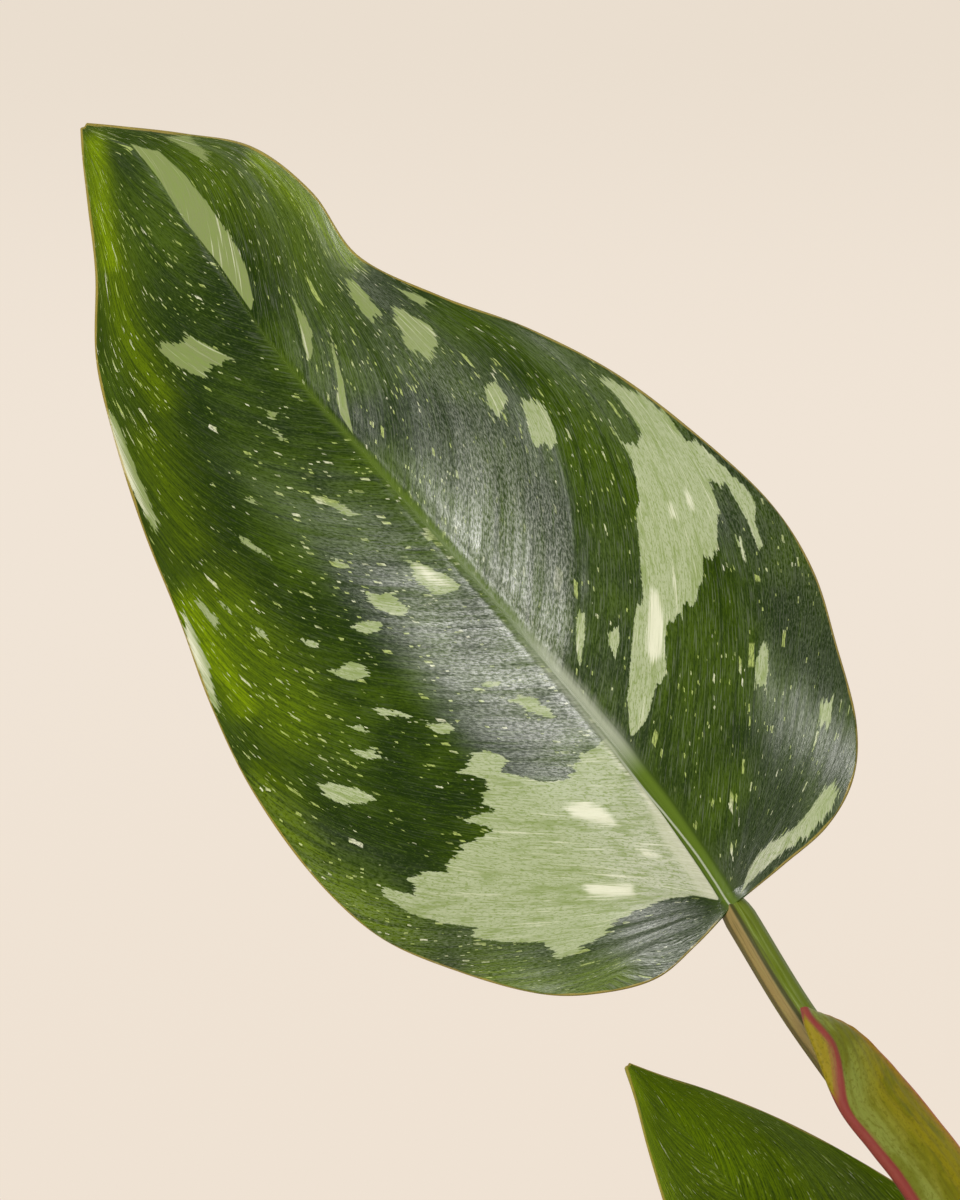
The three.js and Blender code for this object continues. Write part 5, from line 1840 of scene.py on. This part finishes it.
def potMesh():
    p = named(pot)
    bandLow, lowest = p.height - p.bandHeight, p.floor + p.insideFillet
    profile = splitLong(roundedProfile([
        (0, 0, 0),
        (p.footRadius, 0, p.footRound),
        (outerRadiusAt(bandLow), bandLow, p.bandRound[0]),
        (p.rimRadius - p.bandDraft, bandLow + p.bandSlope, p.bandRound[1]),
        (p.rimRadius, p.height, p.rimRound[0]),
        (innerRadiusAt(p.height) + p.rimDraft, p.height, p.rimRound[1]),
        (innerRadiusAt(lowest), lowest, p.insideRound),
        (innerRadiusAt(p.floor) - p.insideFillet, p.floor, p.insideRound),
        (0, p.floor, 0),
    ]), p.longestStep)
    radius, height = profile[1:-1].T
    angle = aroundTurn(p.sides)
    wobble = 1 + sum(lift * np.sin(count * angle + start) for lift, count, start in p.outOfRound)
    marks = p.turningMarks * np.sin(height * p.turningTurn) * (radius > p.marksBeyond)
    radius = (radius + marks)[:, None] * wobble
    height = np.broadcast_to(height[:, None], radius.shape)
    points = np.stack((radius * np.cos(angle), radius * np.sin(angle), height), -1)
    points = np.concatenate((points.reshape(-1, 3), [(0, 0, 0), (0, 0, p.floor)]))
    return drilled(smoothMesh("potShell", points, ringFaces(len(height), p.sides)))


# Cuts the drain holes through the pot's floor
def drilled(mesh):
    shell, drills = addObject("potShell", mesh), bpy.data.meshes.new("drills")
    tool = bmesh.new()
    for turn in aroundTurn(pot["drainHoles"]):
        place = Vector((math.cos(turn), math.sin(turn), 0)) * pot["drainCircle"]
        made = bmesh.ops.create_cone(
            tool, cap_ends=True, segments=40, radius1=pot["drainRadius"] * millimetre,
            radius2=pot["drainRadius"] * millimetre, depth=pot["drainDepth"] * millimetre,
        )
        bmesh.ops.translate(tool, vec=place * millimetre, verts=made["verts"])
    tool.to_mesh(drills)
    tool.free()
    cutter = addObject("drills", drills)
    cut = shell.modifiers.new("drainHoles", "BOOLEAN")
    cut.object, cut.operation, cut.solver = cutter, "DIFFERENCE", "EXACT"
    return takeMesh(shell, cutter)


clayLook = {
    "stretch": (0.12, 0.12, 1.0),
    "lines": (900, 3, 0.6),
    "grit": (1800, 4, 0.7),
    "cloud": (28, 4, 0.6),
    "saltNoise": (60, 5, 0.65),
    "plain": colour(176, 102, 68),
    "tints": {  # colour, where it starts and is full, and its share
        "cloud": (colour(196, 124, 88), 0.35, 0.68, 1.0),
        "lines": (colour(214, 152, 118), 0.55, 0.75, 0.25),
        "grit": (colour(130, 72, 48), 0.62, 0.72, 0.5),
        "damp": (colour(146, 82, 56), 0.05, 0.02, 0.45),
    },
    "dampWander": 0.08,
    "salt": colour(226, 206, 186),
    "saltSpots": (0.52, 0.72),
    "saltHeight": (0.075, 0.04, 0.12, 0.5),
    "bumpShares": (0.6, 0.5),
}


def makeClayMaterial():
    material, n, skin = startMaterial("firedClay")
    look, vector = named(clayLook), n.place()
    values = {name: n.noise(vector, *clayLook[name]) for name in ("grit", "cloud")}
    values["lines"] = n.noise(n.stretched(vector, look.stretch), *look.lines)
    wander = n.times(n.minus(values["cloud"], 0.5), look.dampWander)
    values["damp"] = n.plus(n.split(vector)[2], wander)
    surface = look.plain
    for name, (shade, *bounds) in look.tints.items():
        surface = n.tint(surface, shade, values[name], *bounds)
    salt = n.noise(vector, *look.saltNoise)
    salt = n.faded(1.0, (salt, look.saltSpots), (values["damp"], look.saltHeight))
    surface = n.mix(salt, surface, look.salt)
    rough = (n.times(values[name], share) for name, share in zip(("lines", "grit"), look.bumpShares))
    finishSkin(n, skin, surface, n.plus(*rough), strength=0.5, distance=0.4, roughness=0.88, specular=0.3)
    return material


addPiece("potTurned", potMesh(), makeClayMaterial(), "clay", "pot")
print("pot made")


# Soil: an uneven surface under bark, crumbs and white grit that Geometry Nodes strew on it

soil = {
    "belowRim": 13.0,
    "relief": 1.6,  # broad lumps, as in the part's source
    "crown": 2.5,
    "rough": 0.385,  # fine ones
    "edgeGap": 0.3,
    "edgeDrop": 1.0,
    "hole": 6.0,
    "rings": 70,
    "sides": 150,
    # the root ball below: height, the height where the pot's wall is measured, and the gap to it
    "ball": ((7.3, 8.0, 5.0), (11.5, 12.0, 0.5), (60.0, 60.0, 0.5)),
}


def soilHeight(x, y, edge):
    lumps = np.sin(x * 0.31 + 1.3) * np.cos(y * 0.27) + 0.6 * np.sin(x * 0.13 - y * 0.22)
    crumb = np.sin(x * 1.7 + 2 * np.sin(y * 0.9)) * np.sin(y * 1.9 + 1.4 * np.sin(x * 1.1))
    crumb = crumb + 0.6 * np.sin(x * 3.9 + y * 2.3) * np.sin(y * 4.3 - x)
    return soil["relief"] * lumps + soil["crown"] * (1 - np.hypot(x, y) / edge) + soil["rough"] * crumb


def soilMesh():
    top, angle = pot["height"] - soil["belowRim"], aroundTurn(soil["sides"])
    edge = innerRadiusAt(top) - soil["edgeGap"]

    def ring(reach, height):
        reach = np.asarray(reach) + 0 * angle
        return np.stack((reach * np.cos(angle), reach * np.sin(angle), height + 0 * angle), -1)

    rings = [ring(innerRadiusAt(wallAt) - gap, height) for height, wallAt, gap in soil["ball"]]
    foot = soil["ball"][0][0]
    for reach in np.linspace(edge, soil["hole"], soil["rings"]):
        z = top + soilHeight(reach * np.cos(angle), reach * np.sin(angle), edge)
        rings.append(ring(reach, top - soil["edgeDrop"] if reach == edge else z))
    points = np.concatenate((np.concatenate(rings), [(0, 0, foot), (0, 0, rings[-1][:, 2].mean())]))
    return smoothMesh("soilBed", points, ringFaces(len(rings), soil["sides"]))


def makeStrewTree(name, lowest=0.1, clear=0.0095):  # not below this height, nor this near the stem, in metres
    n, given, out = startTree(
        "GeometryNodeTree", name,
        [("Ground", "Geometry"), ("Bit", "Object"), ("Per square metre", "Float"), ("Apart", "Float"),
         ("Smallest", "Float"), ("Largest", "Float"), ("Lift", "Float"), ("Tilt", "Float"), ("Seed", "Int"),
         ("Within", "Float"), ("Finish", "Material")],
        [("Bits", "Geometry")],
    )
    x, y, z = n.split(n.add("GeometryNodeInputPosition").outputs[0])
    reach = n.calc("SQRT", n.plus(n.times(x, x), n.times(y, y)))
    onTop = n.times(
        n.calc("LESS_THAN", reach, given["Within"]), n.calc("GREATER_THAN", z, lowest),
        n.calc("GREATER_THAN", reach, clear),
    )
    scattered = n.add(
        "GeometryNodeDistributePointsOnFaces",
        {"Mesh": given["Ground"], "Selection": onTop, "Distance Min": given["Apart"],
         "Density Max": given["Per square metre"], "Seed": given["Seed"]},
        distribute_method="POISSON",
    ).outputs

    def drawn(low, high, seed, kind="FLOAT"):
        first = 0 if kind == "FLOAT_VECTOR" else 2
        made = n.add("FunctionNodeRandomValue", {"Seed": seed}, data_type=kind)
        n.feed(made.inputs[first], low)
        n.feed(made.inputs[first + 1], high)
        return made.outputs[first // 2]

    tilt = n.join(given["Tilt"], given["Tilt"], math.pi)
    turn = drawn(n.scaled(tilt, -1.0), tilt, 1, "FLOAT_VECTOR")
    shape = drawn((0.7, 0.7, 0.75), (1.3, 1.3, 1.25), 2, "FLOAT_VECTOR")
    size = drawn(given["Smallest"], given["Largest"], 3)
    bit = n.add("GeometryNodeObjectInfo", {"Object": given["Bit"]}).outputs["Geometry"]
    inputs = {"Points": scattered["Points"], "Instance": bit, "Rotation": turn, "Scale": n.scaled(shape, size)}
    strewn = n.add("GeometryNodeInstanceOnPoints", inputs).outputs[0]
    strewn = n.store(strewn, "bitTone", drawn(0.0, 1.0, 4), domain="INSTANCE")
    inputs = {"Instances": strewn, "Translation": n.join(z=n.times(size, given["Lift"]))}
    lifted = n.add("GeometryNodeTranslateInstances", inputs).outputs[0]
    n.feed(out[0], n.realized(lifted, given["Finish"]))
    return n.tree


# One small rough lump, 2 units across, to be strewn
def addLump(name, seed, shape, detail, smallest=0.78, spread=0.4):
    tool = bmesh.new()
    bmesh.ops.create_icosphere(tool, subdivisions=detail, radius=1.0)
    draw = draws(seed)
    for vertex in tool.verts:
        vertex.co = Vector(shape) * vertex.co * (smallest + spread * next(draw))
    mesh = bpy.data.meshes.new(name)
    tool.to_mesh(mesh)
    tool.free()
    return addObject(name, mesh)


bitLook = {"grain": (1500, 4, 0.65), "darkGrain": (0.4, 0.65, 0.6)}


def makeBitMaterial(name, dark, light, roughness):
    material, n, skin = startMaterial(name)
    fine = n.noise(n.place(), *bitLook["grain"])
    surface = n.tint(n.mix(n.valueOf("bitTone"), dark, light), dark, fine, *bitLook["darkGrain"])
    finishSkin(n, skin, surface, fine, strength=0.7, distance=0.4, roughness=roughness)
    return material


bits = {  # a lump's shape and detail, how many per square metre and how far apart, half sizes, lift and tilt
    "barkChips": dict(shape=(1.0, 0.55, 0.28), detail=2, density=16000, apart=3.6, smallest=2.4, largest=5.6,
                      lift=0.12, tilt=0.5, seed=3, dark=colour(52, 34, 22), light=colour(122, 84, 52),
                      roughness=0.85),
    "soilCrumbs": dict(shape=(1.0, 0.9, 0.75), detail=1, density=160000, apart=1.3, smallest=0.5, largest=1.6,
                       lift=0.3, tilt=2.0, seed=5, dark=colour(30, 21, 15), light=colour(74, 52, 36),
                       roughness=0.95),
    "whiteGrit": dict(shape=(1.0, 0.85, 0.8), detail=1, density=14000, apart=3.0, smallest=0.7, largest=1.7,
                      lift=0.5, tilt=2.0, seed=8, dark=colour(206, 200, 188), light=colour(240, 238, 230),
                      roughness=0.9),
}
bitsFromWall = 1.2
strewTree = makeStrewTree("strewnBits")
soilDark = makeBitMaterial("pottingSoil", colour(34, 24, 17), colour(66, 46, 32), 0.97)
bedMesh = soilMesh()
soilEdge = innerRadiusAt(pot["height"] - soil["belowRim"]) - bitsFromWall
for name, kind in bits.items():
    lump = addLump(name + "Lump", kind["seed"], kind["shape"], kind["detail"])
    finish = makeBitMaterial(name, kind["dark"], kind["light"], kind["roughness"])
    made = meshFromTree(name, bedMesh.copy(), strewTree, {
        "Bit": lump, "Per square metre": float(kind["density"]), "Apart": kind["apart"] * millimetre,
        "Smallest": kind["smallest"] * millimetre, "Largest": kind["largest"] * millimetre,
        "Lift": kind["lift"], "Tilt": kind["tilt"], "Seed": kind["seed"], "Finish": finish,
        "Within": (soilEdge - kind["largest"]) * millimetre,
    })
    bpy.data.objects.remove(lump)
    addPiece(name, made, finish, "soil")
    print(name, len(made.polygons), "faces")
addPiece("soilBed", bedMesh, soilDark, "soil", "soil")
print("soil made")
